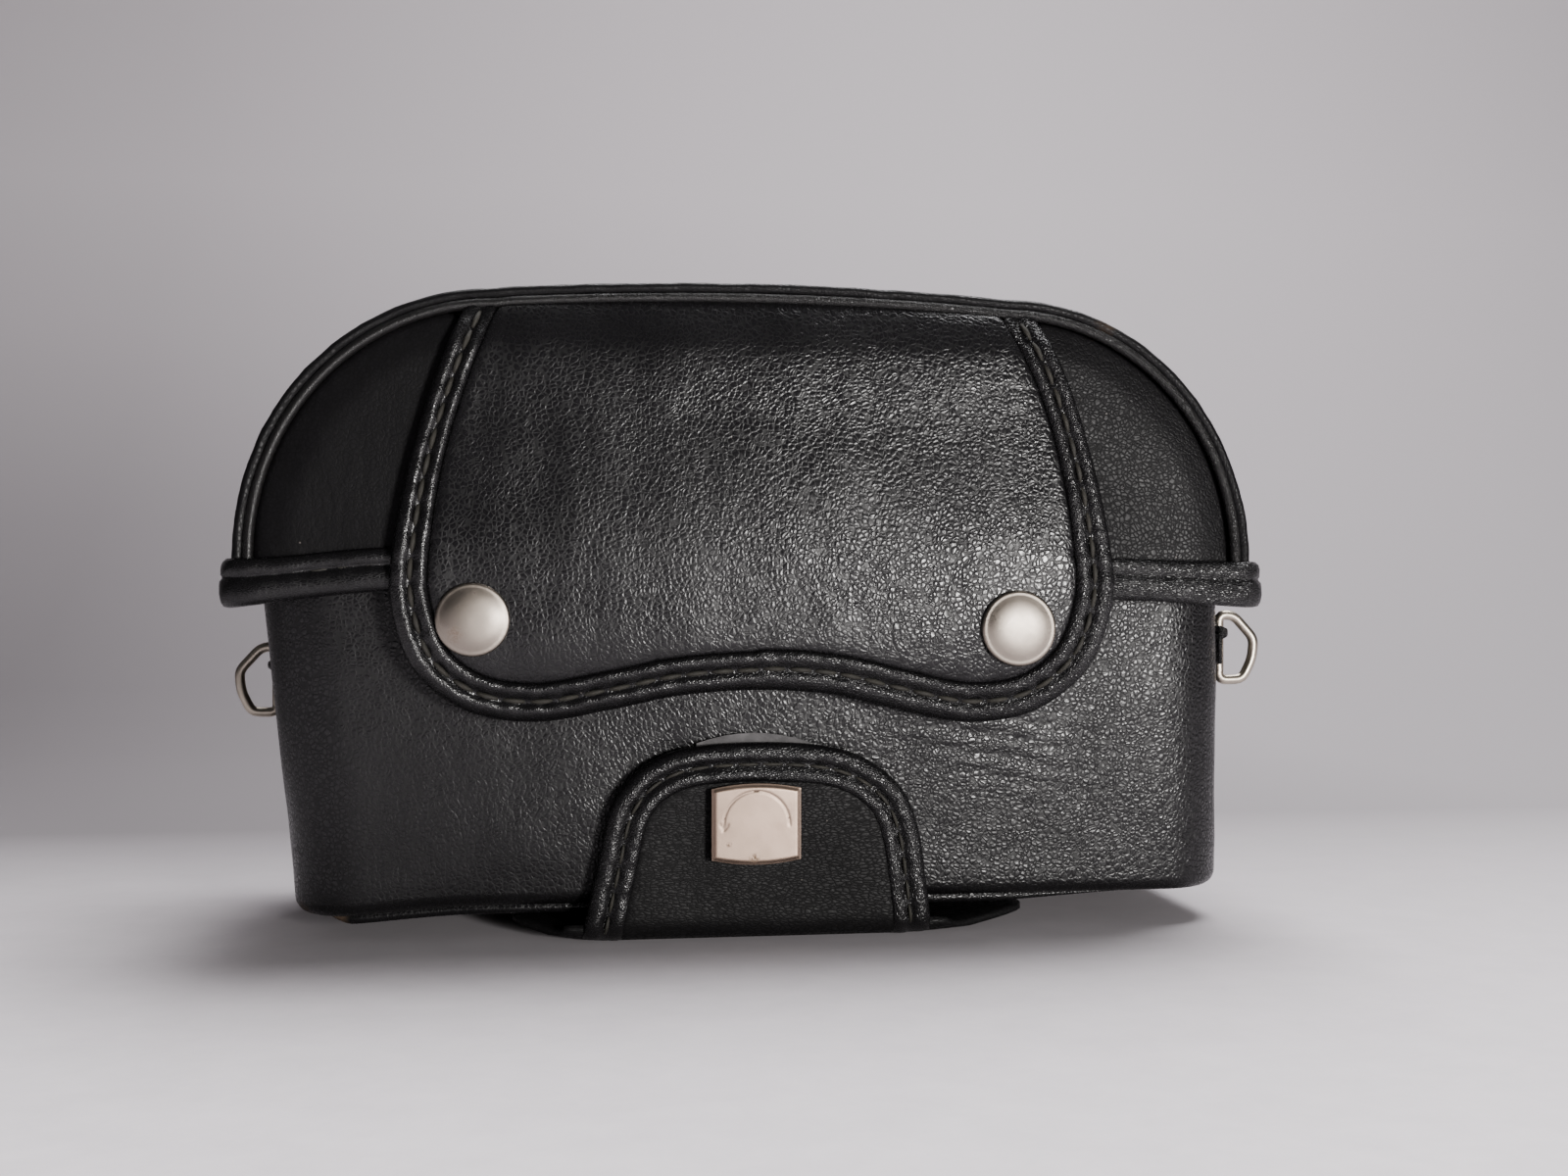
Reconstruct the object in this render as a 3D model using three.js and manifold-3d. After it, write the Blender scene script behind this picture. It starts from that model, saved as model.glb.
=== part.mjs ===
// A stereo camera in its leather ever-ready case, buttoned shut.
// Millimetres, +Z up, the front faces -Y. The origin is on the ground under the middle of the case.
import * as THREE from "three";
import { LoftGeometry } from "three/addons/geometries/LoftGeometry.js";
import { mergeVertices } from "three/addons/utils/BufferGeometryUtils.js";
import Module from "manifold-3d";

// ---- driving dimensions -------------------------------------------------------------------

const GAP = 0.3; // clearance between pieces that lie against each other
const LEATHER = 2.0; // cover and flap leather
const LINING = 0.7; // suede lining

// Lower half of the case: reach from the middle to each side, at the foot and at the rim.
// The old leather has slumped, so the left wall leans further than the right one.
const CASE = {
  footZ: 6,
  rimZ: 64,
  foot: { left: 78, right: 87.6, front: 30.8, back: 31 },
  rim: { left: 84, right: 87.2, front: 32.6, back: 33 },
  wall: 2.4,
  corner: 12,
  edge: 3,
};

// Upper half: an arch of two quarter ellipses and a slightly crowned top, between leaning faces.
const COVER = {
  left: { reach: 86.2, flat: 43.5 },
  right: { reach: 88.1, flat: 45.5 },
  footZ: 66.1,
  shoulderZ: 110.6,
  crown: 1.8,
  depthZ: 59,
  depth: 36,
  lean: 2.4 / 53,
  piping: 1.4,
};
const BAND = {
  low: 59,
  high: 65.8,
  outer: { left: 89, right: 90.5, front: 37.5, back: 37.5 },
  inner: { left: 87.2, right: 88.1, front: 34.6, back: 34.6 },
  corner: 5,
};

// Front flap: its edge from the right end of the top seam round the two lobes to the left end.
const FLAP = {
  edge: [
    [49.6, 107.5],
    [54.4, 97],
    [58.6, 83],
    [61.4, 69],
    [62, 58.3],
    [57.8, 46.4],
    [48.8, 39],
    [37, 37.1],
    [24.7, 39.4],
    [12.6, 42.2],
    [0, 43],
    [-12.6, 42.2],
    [-24.7, 39.8],
    [-37, 37.9],
    [-48.4, 39.9],
    [-57, 46.9],
    [-60.7, 58.3],
    [-60, 69],
    [-57.2, 83],
    [-53, 97],
    [-49, 107.5],
  ],
  // inner face: how far forward it lies at each height
  inner: [
    [107.5, 34.4],
    [88, 36.4],
    [66, 38],
    [61, 38],
    [48, 37.5],
    [42, 36.1],
    [36, 34.6],
  ],
  binding: 6,
  bindingThick: 3.1,
};
const SNAP = {
  left: { x: -47.3, z: 55.1 },
  right: { x: 44.9, z: 53.4 },
  faceY: -40.2,
  capR: 5.95,
  shankR: 1.9,
  boreR: 2.3,
};

// Base flap under the case, and its tongue that turns up over the front.
const BASE = { halfFlat: 29, halfWidth: 45, rise: 3.9, thick: 1.8, front: -33, rear: 24 };
const TAB = {
  edge: [
    [0, 33.9],
    [12.7, 32.9],
    [20.4, 29.8],
    [25.2, 25.2],
    [27.9, 19.3],
    [29.4, 11],
    [30.3, 3],
  ],
  binding: 7,
  inner: -33.4,
};
const LOCK = { z: 20.3, halfWidth: 7.6, halfSide: 6, bulge: 0.85, back: -36.6, thick: 1.5, postR: 2 };
const STRIKE = { halfWidth: 9.75, low: 14, side: 33.7, top: 35.4, front: -32.85, back: -32.05 };

// Wire rings for the neck strap: distance of the bar from the middle, depth and height.
const RING = {
  wire: 0.85,
  left: { x: -84.6, y: 4, z: 43.3 },
  right: { x: 89.7, y: -18, z: 49.2 },
  outline: [
    [0, -6.1],
    [3.8, -6.1],
    [6.9, -2.4],
    [6.9, 1.8],
    [1.3, 6.1],
    [0, 6.1],
  ],
  eye: { low: 1.4, high: 4.1 },
  strap: 0.95,
  patch: { halfDepth: 5, low: -3.6, high: 4.1 },
};

// Sewn-on strips, from corner to corner: the one that carries the cover, and the foot at the rear.
const HINGE_STRIP = { from: [-55, 33.4, 38], to: [55, 35, 57] };
const FOOT_STRIP = { from: [-45, 25.6, 0], to: [45, 29.4, 5.7] };

// Screw that holds the camera in the case, and the threaded bush that takes it.
const SCREW = {
  x: 0,
  y: 8,
  holeR: 3.4,
  shankR: 2.9,
  headR: 8,
  headLow: 2.2,
  headHigh: 5.6,
  tip: 13.4,
  slot: { half: 0.8, deep: 1.2 },
};
const BUSH = { innerR: 3.3, outerR: 5.1, boreR: 5.4, high: 5 };

// The camera inside: a plain twin-lens stereo body.
const CAMERA = {
  halfWidth: 72,
  front: -6,
  back: 23.5,
  floor: 9.7,
  bodyLow: 11.5,
  bodyHigh: 72,
  topHigh: 75.5,
  housingHalf: 24,
  housingHigh: 96,
  lensX: 35,
  lensZ: 46,
  spoolX: 61,
  spoolY: 8,
  corner: 10,
};
const CHAMBER = { wall: 2, front: -2, halfWidth: 8, sprocketRoom: 3.2 };
const GATE = { halfWidth: 11.5, halfHeight: 12 };
const DOOR_SEAT = { halfWidth: 48, halfHeight: 17, y: 17.5 };
const DOOR = { halfWidth: 71, corner: 3, back: 2.5 };
const PRESSURE_PLATE = { halfWidth: 47, halfHeight: 15, front: 18.2, back: 19.6 };
const SPRING = { halfLength: 30, halfHeight: 6, front: 19.9, back: 23.2, leaf: 0.4 };
const LENS_BOARD = { halfWidth: 56, low: 22, high: 68, corner: 6, thick: 2, boreR: 9 };
const TUNNEL = { halfWidth: 8, low: 81, high: 91 };
const SHAFT = { r: 2.3, knobBoreR: 2.6, bodyBoreR: 3.2 };
const SPROCKET = { x: -50.6, y: 12, coreR: 1.6, wheelR: 2.5, wheelHalf: 1.2, spread: 14 };
const BUTTON = { x: -43, y: 4, r: 2.8, boreR: 3.2 };
const DIAL = { x: -33, y: 14, r: 5, wellR: 5.3, wellDeep: 1.4 };
const SHOE = { halfWidth: 10, front: 2, back: 16, base: 1, rail: 1.3, lip: 3.2, high: 3.3, lipThick: 0.8 };

// ---- finishes -----------------------------------------------------------------------------

const finish = (color, roughness, metalness = 0) =>
  new THREE.MeshStandardMaterial({ color, roughness, metalness });
const FINISH = {
  leather: finish(0x1b1a1b, 0.55),
  binding: finish(0x141315, 0.45),
  lining: finish(0x3a2a20, 0.95),
  nickel: finish(0xb9aea4, 0.35, 1),
  steel: finish(0x9a9a98, 0.3, 1),
  chrome: finish(0xc9cacb, 0.28, 1),
  blackPaint: finish(0x101011, 0.4),
  leatherette: finish(0x161616, 0.7),
  glass: finish(0x8fa3b0, 0.05),
  brass: finish(0xa98a4a, 0.35, 1),
};

// ---- solids -------------------------------------------------------------------------------

const wasm = await Module();
wasm.setup();

function toSolid(geometry) {
  const bare = new THREE.BufferGeometry();
  bare.setAttribute("position", geometry.attributes.position);
  bare.setIndex(geometry.index);
  const merged = mergeVertices(bare, 1e-4);
  const corners = merged.index.array;
  const triVerts = [];
  for (let i = 0; i < corners.length; i += 3) {
    const [a, b, c] = corners.slice(i, i + 3);
    if (a !== b && b !== c && c !== a) triVerts.push(a, b, c);
  }
  return new wasm.Manifold(
    new wasm.Mesh({
      numProp: 3,
      vertProperties: Float32Array.from(merged.attributes.position.array),
      triVerts: Uint32Array.from(triVerts),
    }),
  );
}

function toGeometry(solid) {
  const mesh = solid.getMesh();
  const indexed = new THREE.BufferGeometry();
  indexed.setAttribute("position", new THREE.BufferAttribute(mesh.vertProperties, 3));
  indexed.setIndex(new THREE.BufferAttribute(mesh.triVerts, 1));
  const geometry = indexed.toNonIndexed();
  geometry.computeVertexNormals();
  return geometry;
}

const cut = (base, ...tools) =>
  toGeometry(tools.reduce((solid, tool) => solid.subtract(toSolid(tool)), toSolid(base)));
const join = (...pieces) => toGeometry(pieces.map(toSolid).reduce((solid, piece) => solid.add(piece)));
const common = (first, second) => toGeometry(toSolid(first).intersect(toSolid(second)));

// ---- basic shapes -------------------------------------------------------------------------

const toPoints = (pairs) => pairs.map(([x, y]) => new THREE.Vector2(x, y));

function extruded(pairs, depth) {
  return new THREE.ExtrudeGeometry(new THREE.Shape(toPoints(pairs)), { depth, bevelEnabled: false });
}

// A plate whose outline is drawn in X and Z.
function plateFacingFront(pairs, front, back) {
  return extruded(pairs, back - front).rotateX(Math.PI / 2).translate(0, back, 0);
}

// A prism whose outline is drawn in Y and Z.
function prismAlongX(pairs, low, high) {
  const turn = new THREE.Matrix4().makeBasis(
    new THREE.Vector3(0, 1, 0),
    new THREE.Vector3(0, 0, 1),
    new THREE.Vector3(1, 0, 0),
  );
  return extruded(pairs, high - low).applyMatrix4(turn).translate(low, 0, 0);
}

function block([x0, y0, z0], [x1, y1, z1]) {
  return new THREE.BoxGeometry(x1 - x0, y1 - y0, z1 - z0).translate(
    (x0 + x1) / 2,
    (y0 + y1) / 2,
    (z0 + z1) / 2,
  );
}

// A turned piece about Z: pairs of radius and height, from the axis to the axis or closed.
function turned(pairs, segments = 24) {
  return new THREE.LatheGeometry(toPoints(pairs), segments).rotateX(Math.PI / 2);
}

// The same about -Y, so that heights grow towards the front.
function turnedForward(pairs, segments = 24) {
  return new THREE.LatheGeometry(toPoints(pairs), segments).rotateX(Math.PI);
}

const disc = (radius, low, high) => [
  [0, low],
  [radius, low],
  [radius, high],
  [0, high],
];
const collar = (inner, outer, low, high) => [
  [inner, low],
  [outer, low],
  [outer, high],
  [inner, high],
  [inner, low],
];

function signedVolume(geometry) {
  const p = geometry.attributes.position;
  const corner = (i) => new THREE.Vector3().fromBufferAttribute(p, geometry.index.getX(i));
  let volume = 0;
  for (let i = 0; i < geometry.index.count; i += 3) {
    volume += corner(i).dot(corner(i + 1).cross(corner(i + 2))) / 6;
  }
  return volume;
}

// Skins a row of sections and turns the skin right side out.
function loft(sections, capped = true) {
  const geometry = new LoftGeometry(sections, { capStart: capped, capEnd: capped });
  if (signedVolume(geometry) > 0) return geometry;
  return new LoftGeometry(
    sections.map((section) => section.slice().reverse()),
    { capStart: capped, capEnd: capped },
  );
}

// Rounded rectangle at one height, counter-clockwise from above.
function roundedRing(z, reach, radius, steps = 5) {
  const corners = [
    [reach.right - radius, reach.back - radius],
    [-reach.left + radius, reach.back - radius],
    [-reach.left + radius, -reach.front + radius],
    [reach.right - radius, -reach.front + radius],
  ];
  return corners.flatMap(([x, y], quarter) =>
    Array.from({ length: steps + 1 }, (_, step) => {
      const angle = ((quarter + step / steps) * Math.PI) / 2;
      return new THREE.Vector3(x + radius * Math.cos(angle), y + radius * Math.sin(angle), z);
    }),
  );
}

// A round wire or cord along a path that lies in a plane facing the front.
function wire(path, radius, closed, sides = 8) {
  const count = path.length;
  const sections = path.map((point, i) => {
    const before = path[closed ? (i + count - 1) % count : Math.max(i - 1, 0)];
    const after = path[closed ? (i + 1) % count : Math.min(i + 1, count - 1)];
    const along = after.clone().sub(before).normalize();
    const across = new THREE.Vector3(along.z, 0, -along.x).normalize();
    return Array.from({ length: sides }, (_, side) => {
      const angle = (side / sides) * 2 * Math.PI;
      const offset = across.clone().multiplyScalar(radius * Math.cos(angle));
      return point.clone().add(offset).add(new THREE.Vector3(0, radius * Math.sin(angle), 0));
    });
  });
  if (closed) sections.push(sections[0]);
  return loft(sections, !closed);
}

// A closed outline with every corner replaced by a short curve.
function roundCorners(pairs, radius, steps = 3) {
  const outline = [];
  const points = toPoints(pairs);
  points.forEach((corner, i) => {
    const before = points[(i + points.length - 1) % points.length];
    const after = points[(i + 1) % points.length];
    const reach = Math.min(radius, corner.distanceTo(before) / 2.2, corner.distanceTo(after) / 2.2);
    const start = before.clone().sub(corner).setLength(reach).add(corner);
    const end = after.clone().sub(corner).setLength(reach).add(corner);
    outline.push(...new THREE.QuadraticBezierCurve(start, corner, end).getPoints(steps));
  });
  return outline;
}

// Smooth edge through the given points, which run clockwise seen from the front.
const smoothEdge = (pairs, samples) =>
  new THREE.SplineCurve(toPoints(pairs)).getPoints(samples).map((p) => [p.x, p.y]);

// The same for an edge given from the middle to its right end, with its mirror image put before it.
function mirroredEdge(half, samples) {
  const mirrored = half.slice(1).map(([x, z]) => [-x, z]);
  return smoothEdge([...mirrored.reverse(), ...half], samples);
}

// The same edge moved inwards, with both open ends drawn on past the seam by overrun.
function insetEdge(edge, distance, overrun) {
  const inner = edge.map(([x, z], i) => {
    const [x0, z0] = edge[Math.max(i - 1, 0)];
    const [x1, z1] = edge[Math.min(i + 1, edge.length - 1)];
    const length = Math.hypot(x1 - x0, z1 - z0);
    return [x + (distance * (z1 - z0)) / length, z - (distance * (x1 - x0)) / length];
  });
  const [firstX, firstZ] = inner[0];
  const [lastX, lastZ] = inner[inner.length - 1];
  return [[firstX, firstZ + overrun], ...inner, [lastX, lastZ + overrun]];
}

const PIERCE = 60; // longer than any piece that a cutter passes through

const group = new THREE.Group();

function add(name, geometry, material, [x, y, z] = [0, 0, 0]) {
  const mesh = new THREE.Mesh(geometry, material);
  mesh.name = name;
  mesh.position.set(x, y, z);
  group.add(mesh);
}

// ---- lower case ---------------------------------------------------------------------------

function caseRing(z, inset) {
  const t = (z - CASE.footZ) / (CASE.rimZ - CASE.footZ);
  const reach = {};
  for (const side of ["left", "right", "front", "back"]) {
    reach[side] = THREE.MathUtils.lerp(CASE.foot[side], CASE.rim[side], t) - inset;
  }
  return roundedRing(z, reach, CASE.corner - inset);
}

// The tub shape of the case, drawn in by inset, with its bottom edge rounded.
function tub(inset, floorZ, topZ, edge) {
  const rings = [0, 1, 2, 3].map((step) => {
    const angle = (step * Math.PI) / 6;
    return caseRing(floorZ + edge * (1 - Math.cos(angle)), inset + edge * (1 - Math.sin(angle)));
  });
  rings.push(caseRing(topZ, inset));
  return loft(rings);
}

const screwHole = () => turned(disc(SCREW.holeR, 0, 15)).translate(SCREW.x, SCREW.y, 0);

function lowerCaseShell() {
  const inner = tub(CASE.wall, CASE.footZ + CASE.wall, CASE.rimZ + 1, CASE.edge - CASE.wall + 1);
  return cut(tub(0, CASE.footZ, CASE.rimZ, CASE.edge), inner, screwHole());
}

function lowerCaseLining() {
  const outset = CASE.wall + GAP;
  const outer = tub(outset, CASE.footZ + outset, CASE.rimZ - 2, 1.6);
  const inset = outset + LINING;
  return cut(outer, tub(inset, CASE.footZ + inset, CASE.rimZ, 1.2), screwHole());
}

// Leather loop round the bar of a strap ring, on a patch against the wall.
// side is -1 on the left and 1 on the right.
function ringLoop(side) {
  const bore = RING.wire + GAP;
  const outer = bore + RING.strap;
  const near = bore + 0.05;
  const { halfDepth, low, high } = RING.patch;
  const eye = turned(disc(outer, RING.eye.low, RING.eye.high), 16);
  const [inX, outX] = side < 0 ? [near, outer] : [-outer, -near];
  const patch = block([inX, -halfDepth, low], [outX, halfDepth, high]);
  return cut(join(eye, patch), turned(disc(bore, low - 1, high + 1), 16));
}

function strapRing(side) {
  const loop = roundCorners(RING.outline, 1.7).map((p) => new THREE.Vector3(side * p.x, 0, p.y));
  return wire(loop, RING.wire, true);
}

function addLowerCase() {
  add("lower_case_shell", lowerCaseShell(), FINISH.leather);
  add("lower_case_lining", lowerCaseLining(), FINISH.lining);
  add("back_hinge_strip", block(HINGE_STRIP.from, HINGE_STRIP.to), FINISH.leather);
  add("rear_foot_strip", block(FOOT_STRIP.from, FOOT_STRIP.to), FINISH.leather);
  for (const [name, side] of [["left", -1], ["right", 1]]) {
    const { x, y, z } = RING[name];
    add(`ring_loop_${name}`, ringLoop(side), FINISH.leather, [x, y, z]);
    add(`ring_${name}`, strapRing(side), FINISH.nickel, [x, y, z]);
  }
}

// ---- cover --------------------------------------------------------------------------------

// Arch from the right foot over the top to the left foot, drawn in by inset.
function arch(inset, steps = 10) {
  const rise = COVER.shoulderZ - COVER.footZ - inset;
  const shoulder = ({ reach, flat }) =>
    Array.from({ length: steps + 1 }, (_, step) => {
      const angle = ((step / steps) * Math.PI) / 2;
      const across = (reach - flat - inset) * Math.cos(angle);
      return [flat + across, COVER.footZ + rise * Math.sin(angle)];
    });
  const crown = [0.5, 0, -0.5].map((t) => [
    t * COVER.right.flat,
    COVER.shoulderZ - inset + COVER.crown * (1 - t * t),
  ]);
  const left = shoulder(COVER.left).map(([x, z]) => [-x, z]);
  return [...shoulder(COVER.right), ...crown, ...left.reverse()];
}

const coverDepth = (z) => COVER.depth - COVER.lean * (z - COVER.depthZ);

// The space between two leaning faces, given how deep each lies at height z.
function leaningSlab(frontAt, backAt) {
  const low = COVER.footZ - 1;
  const high = COVER.shoulderZ + 5;
  const outline = [
    [frontAt(low), low],
    [backAt(low), low],
    [backAt(high), high],
    [frontAt(high), high],
  ];
  return prismAlongX(outline, -COVER.left.reach - 1, COVER.right.reach + 1);
}

function coverPiece(archInset, frontAt, backAt) {
  return common(plateFacingFront(arch(archInset), -PIERCE, PIERCE), leaningSlab(frontAt, backAt));
}

function coverPanel(side) {
  const outer = (z) => side * coverDepth(z);
  const inner = (z) => side * (coverDepth(z) - LEATHER);
  const inset = 2 * COVER.piping + GAP;
  return side < 0 ? coverPiece(inset, outer, inner) : coverPiece(inset, inner, outer);
}

// The arch with a hollow in it. Each face and the hollow's ends are drawn in from the cover's faces;
// with hollowInset below zero the hollow runs right through.
function hollowArch(outerInset, innerInset, faceInset, hollowInset) {
  const back = (inset) => (z) => coverDepth(z) - inset;
  const front = (inset) => (z) => inset - coverDepth(z);
  const outer = coverPiece(outerInset, front(faceInset), back(faceInset));
  const inner = coverPiece(innerInset, front(hollowInset), back(hollowInset));
  return cut(outer, inner.translate(0, 0, -0.01));
}

const PIPING_SUNK = 0.9; // how far the piping's centre lies behind the panel's face

function coverPiping(side) {
  const onRim = ([x, z]) => new THREE.Vector3(x, side * (coverDepth(z) - PIPING_SUNK), z);
  return wire(arch(COVER.piping).map(onRim), COVER.piping, false);
}

const drawnIn = (reach, inset) =>
  Object.fromEntries(Object.entries(reach).map(([side, value]) => [side, value - inset]));

// The stiff rim of the cover, a rectangular hoop with its outer edges broken.
function coverBand() {
  const levels = [
    [BAND.low, 1],
    [BAND.low + 1.2, 0],
    [BAND.high - 1.2, 0],
    [BAND.high, 1],
  ];
  const body = levels.map(([z, inset]) =>
    roundedRing(z, drawnIn(BAND.outer, inset), BAND.corner - inset),
  );
  const hole = [BAND.low - 1, BAND.high + 1].map((z) => roundedRing(z, BAND.inner, BAND.corner - 1.5));
  return cut(loft(body), loft(hole));
}

function addCover() {
  const gussetInset = 2 * COVER.piping - PIPING_SUNK + 2 * GAP;
  const liningInset = LEATHER + 2 * GAP;
  const liningFace = gussetInset + GAP;
  add("cover_front_panel", coverPanel(-1), FINISH.leather);
  add("cover_back_panel", coverPanel(1), FINISH.leather);
  add("cover_gusset", hollowArch(GAP, GAP + LEATHER, gussetInset, -1), FINISH.leather);
  const lining = hollowArch(liningInset, liningInset + LINING, liningFace, liningFace + LINING);
  add("cover_lining", lining, FINISH.lining);
  add("cover_front_piping", coverPiping(-1), FINISH.binding);
  add("cover_back_piping", coverPiping(1), FINISH.binding);
  add("cover_band", coverBand(), FINISH.binding);
}

// ---- front flap ---------------------------------------------------------------------------

// The flap's side profile as a slab of the given thickness in front of its inner face.
function flapSlab(thickness) {
  const inner = FLAP.inner.map(([z, depth]) => [-depth, z]);
  const outer = FLAP.inner.map(([z, depth]) => [-depth - thickness, z]).reverse();
  return prismAlongX([...inner, ...outer], -PIERCE - 10, PIERCE + 10);
}

function addFrontFlap() {
  const edge = smoothEdge(FLAP.edge, 60);
  const whole = plateFacingFront(edge, -PIERCE, 0);
  const insideBinding = (distance) => plateFacingFront(insetEdge(edge, distance, 10), -PIERCE, 0);
  const panel = common(insideBinding(FLAP.binding + GAP), flapSlab(LEATHER - 0.1));
  const holes = [SNAP.left, SNAP.right].map(({ x, z }) =>
    turnedForward(disc(SNAP.boreR, 0, PIERCE)).translate(x, 0, z),
  );
  add("front_flap_panel", cut(panel, ...holes), FINISH.leather);
  const border = common(whole, flapSlab(FLAP.bindingThick));
  add("front_flap_binding", cut(border, insideBinding(FLAP.binding)), FINISH.binding);
  for (const name of ["left", "right"]) {
    const place = [SNAP[name].x, SNAP.faceY, SNAP[name].z];
    add(`snap_cap_${name}`, snapCap(), FINISH.nickel, place);
    add(`snap_socket_${name}`, snapSocket(), FINISH.steel, place);
    add(`snap_stud_${name}`, snapStud(), FINISH.steel, place);
  }
}

// Domed cap with the shank that passes through the flap; heights grow towards the front.
function snapCap() {
  return turnedForward([
    [0, -2.6],
    [SNAP.shankR, -2.6],
    [SNAP.shankR, 0],
    [SNAP.capR, 0],
    [SNAP.capR, 0.5],
    [SNAP.capR - 0.5, 1],
    [4, 1.4],
    [0, 1.65],
  ]);
}

// Spring collar behind the flap; it stops just under the cover's rim.
const snapSocket = () => turnedForward(collar(SNAP.boreR, 3.4, -5.5, -2.9), 20);

// Flange on the case wall and the stud, which ends just short of the socket.
function snapStud() {
  return turnedForward(
    [
      [0, -7.4],
      [4, -7.4],
      [4, -6.8],
      [1.4, -6.7],
      [1.9, -6.3],
      [1.5, -5.8],
      [0, -5.8],
    ],
    20,
  );
}

// ---- base flap and tab --------------------------------------------------------------------

function baseFlapSheet() {
  const { halfFlat, halfWidth, rise, thick, front, rear } = BASE;
  const under = [
    [-halfWidth, rise],
    [-(halfWidth + halfFlat) / 2, rise * 0.4],
    [-halfFlat, 0],
    [halfFlat, 0],
    [(halfWidth + halfFlat) / 2, rise * 0.4],
    [halfWidth, rise],
  ];
  const over = under.map(([x, z]) => [x, z + thick]).reverse();
  return plateFacingFront([...under, ...over], front, rear);
}

function addBaseFlap() {
  add("base_flap_sheet", baseFlapSheet(), FINISH.leather);
  const edge = mirroredEdge(TAB.edge, 32);
  const panelEdge = insetEdge(edge, TAB.binding + GAP, 0);
  const panel = plateFacingFront(panelEdge, TAB.inner - LEATHER, TAB.inner);
  const postHole = turnedForward(disc(LOCK.postR + 0.5, 0, PIERCE)).translate(0, 0, LOCK.z);
  add("tab_panel", cut(panel, postHole), FINISH.leather);
  const binding = plateFacingFront(edge, TAB.inner - LEATHER - 0.9, TAB.inner + 0.2);
  const inside = plateFacingFront(insetEdge(edge, TAB.binding, -10), -PIERCE, 0);
  add("tab_binding", cut(binding, inside), FINISH.binding);
}

// ---- turn lock ----------------------------------------------------------------------------

// Straight sides with a bowed top, and a bowed bottom when bulge is given for it.
function bowedOutline(halfWidth, low, high, topBulge, bottomBulge, steps = 8) {
  const bow = (t) => 1 - t * t;
  const ts = Array.from({ length: steps + 1 }, (_, step) => 1 - (2 * step) / steps);
  const top = ts.map((t) => [t * halfWidth, high + topBulge * bow(t)]);
  const bottom = ts.map((t) => [-t * halfWidth, low - bottomBulge * bow(t)]);
  return [...top, ...bottom];
}

function lockPlate() {
  const { halfWidth, halfSide, bulge, thick, back } = LOCK;
  const bevel = 0.3;
  const outline = bowedOutline(halfWidth - bevel, -halfSide + bevel, halfSide - bevel, bulge, bulge);
  const geometry = new THREE.ExtrudeGeometry(new THREE.Shape(toPoints(outline)), {
    depth: thick - 2 * bevel,
    bevelSize: bevel,
    bevelThickness: bevel,
    bevelSegments: 1,
  });
  return geometry.rotateX(Math.PI / 2).translate(0, back - bevel, 0);
}

function addLock() {
  add("lock_plate", lockPlate(), FINISH.nickel, [0, 0, LOCK.z]);
  const post = turnedForward(disc(LOCK.postR, -STRIKE.front - 0.4, -LOCK.back - GAP), 20);
  add("lock_post", post, FINISH.steel, [0, 0, LOCK.z]);
  const { halfWidth, low, side, top, front, back } = STRIKE;
  const outline = bowedOutline(halfWidth, low, side, top - side, 0);
  const hole = turnedForward(disc(LOCK.postR + 0.7, 0, PIERCE), 20).translate(0, 0, LOCK.z);
  add("strike_plate", cut(plateFacingFront(outline, front, back), hole), FINISH.nickel);
}

// ---- retaining screw ----------------------------------------------------------------------

function caseScrew() {
  const { shankR, headR, headLow, headHigh, tip, slot } = SCREW;
  const body = turned([
    [0, headLow],
    [headR - 0.6, headLow],
    [headR, headLow + 0.6],
    [headR, headHigh],
    [shankR, headHigh],
    [shankR, tip],
    [0, tip],
  ]);
  return cut(body, block([-PIERCE, -slot.half, 0], [PIERCE, slot.half, headLow + slot.deep]));
}

// ---- camera -------------------------------------------------------------------------------

// Outline of the camera at one height, with round ends.
function cameraRing(z, front, back) {
  const half = (back - front) / 2;
  const reach = { left: CAMERA.halfWidth, right: CAMERA.halfWidth, front: half, back: half };
  const middle = new THREE.Vector3(0, (front + back) / 2, 0);
  return roundedRing(z, reach, CAMERA.corner, 4).map((p) => p.add(middle));
}

const cameraSlab = (low, high, front = CAMERA.front, back = CAMERA.back) =>
  loft([cameraRing(low, front, back), cameraRing(high, front, back)]);

const upright = (x, y, radius, low, high, segments = 16) =>
  turned(disc(radius, low, high), segments).translate(x, y, 0);

function roundedPlate(pairs, radius, front, back) {
  const outline = roundCorners(pairs, radius).map((p) => [p.x, p.y]);
  return plateFacingFront(outline, front, back);
}

const rectangle = (halfWidth, low, high) => [
  [-halfWidth, low],
  [halfWidth, low],
  [halfWidth, high],
  [-halfWidth, high],
];

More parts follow.
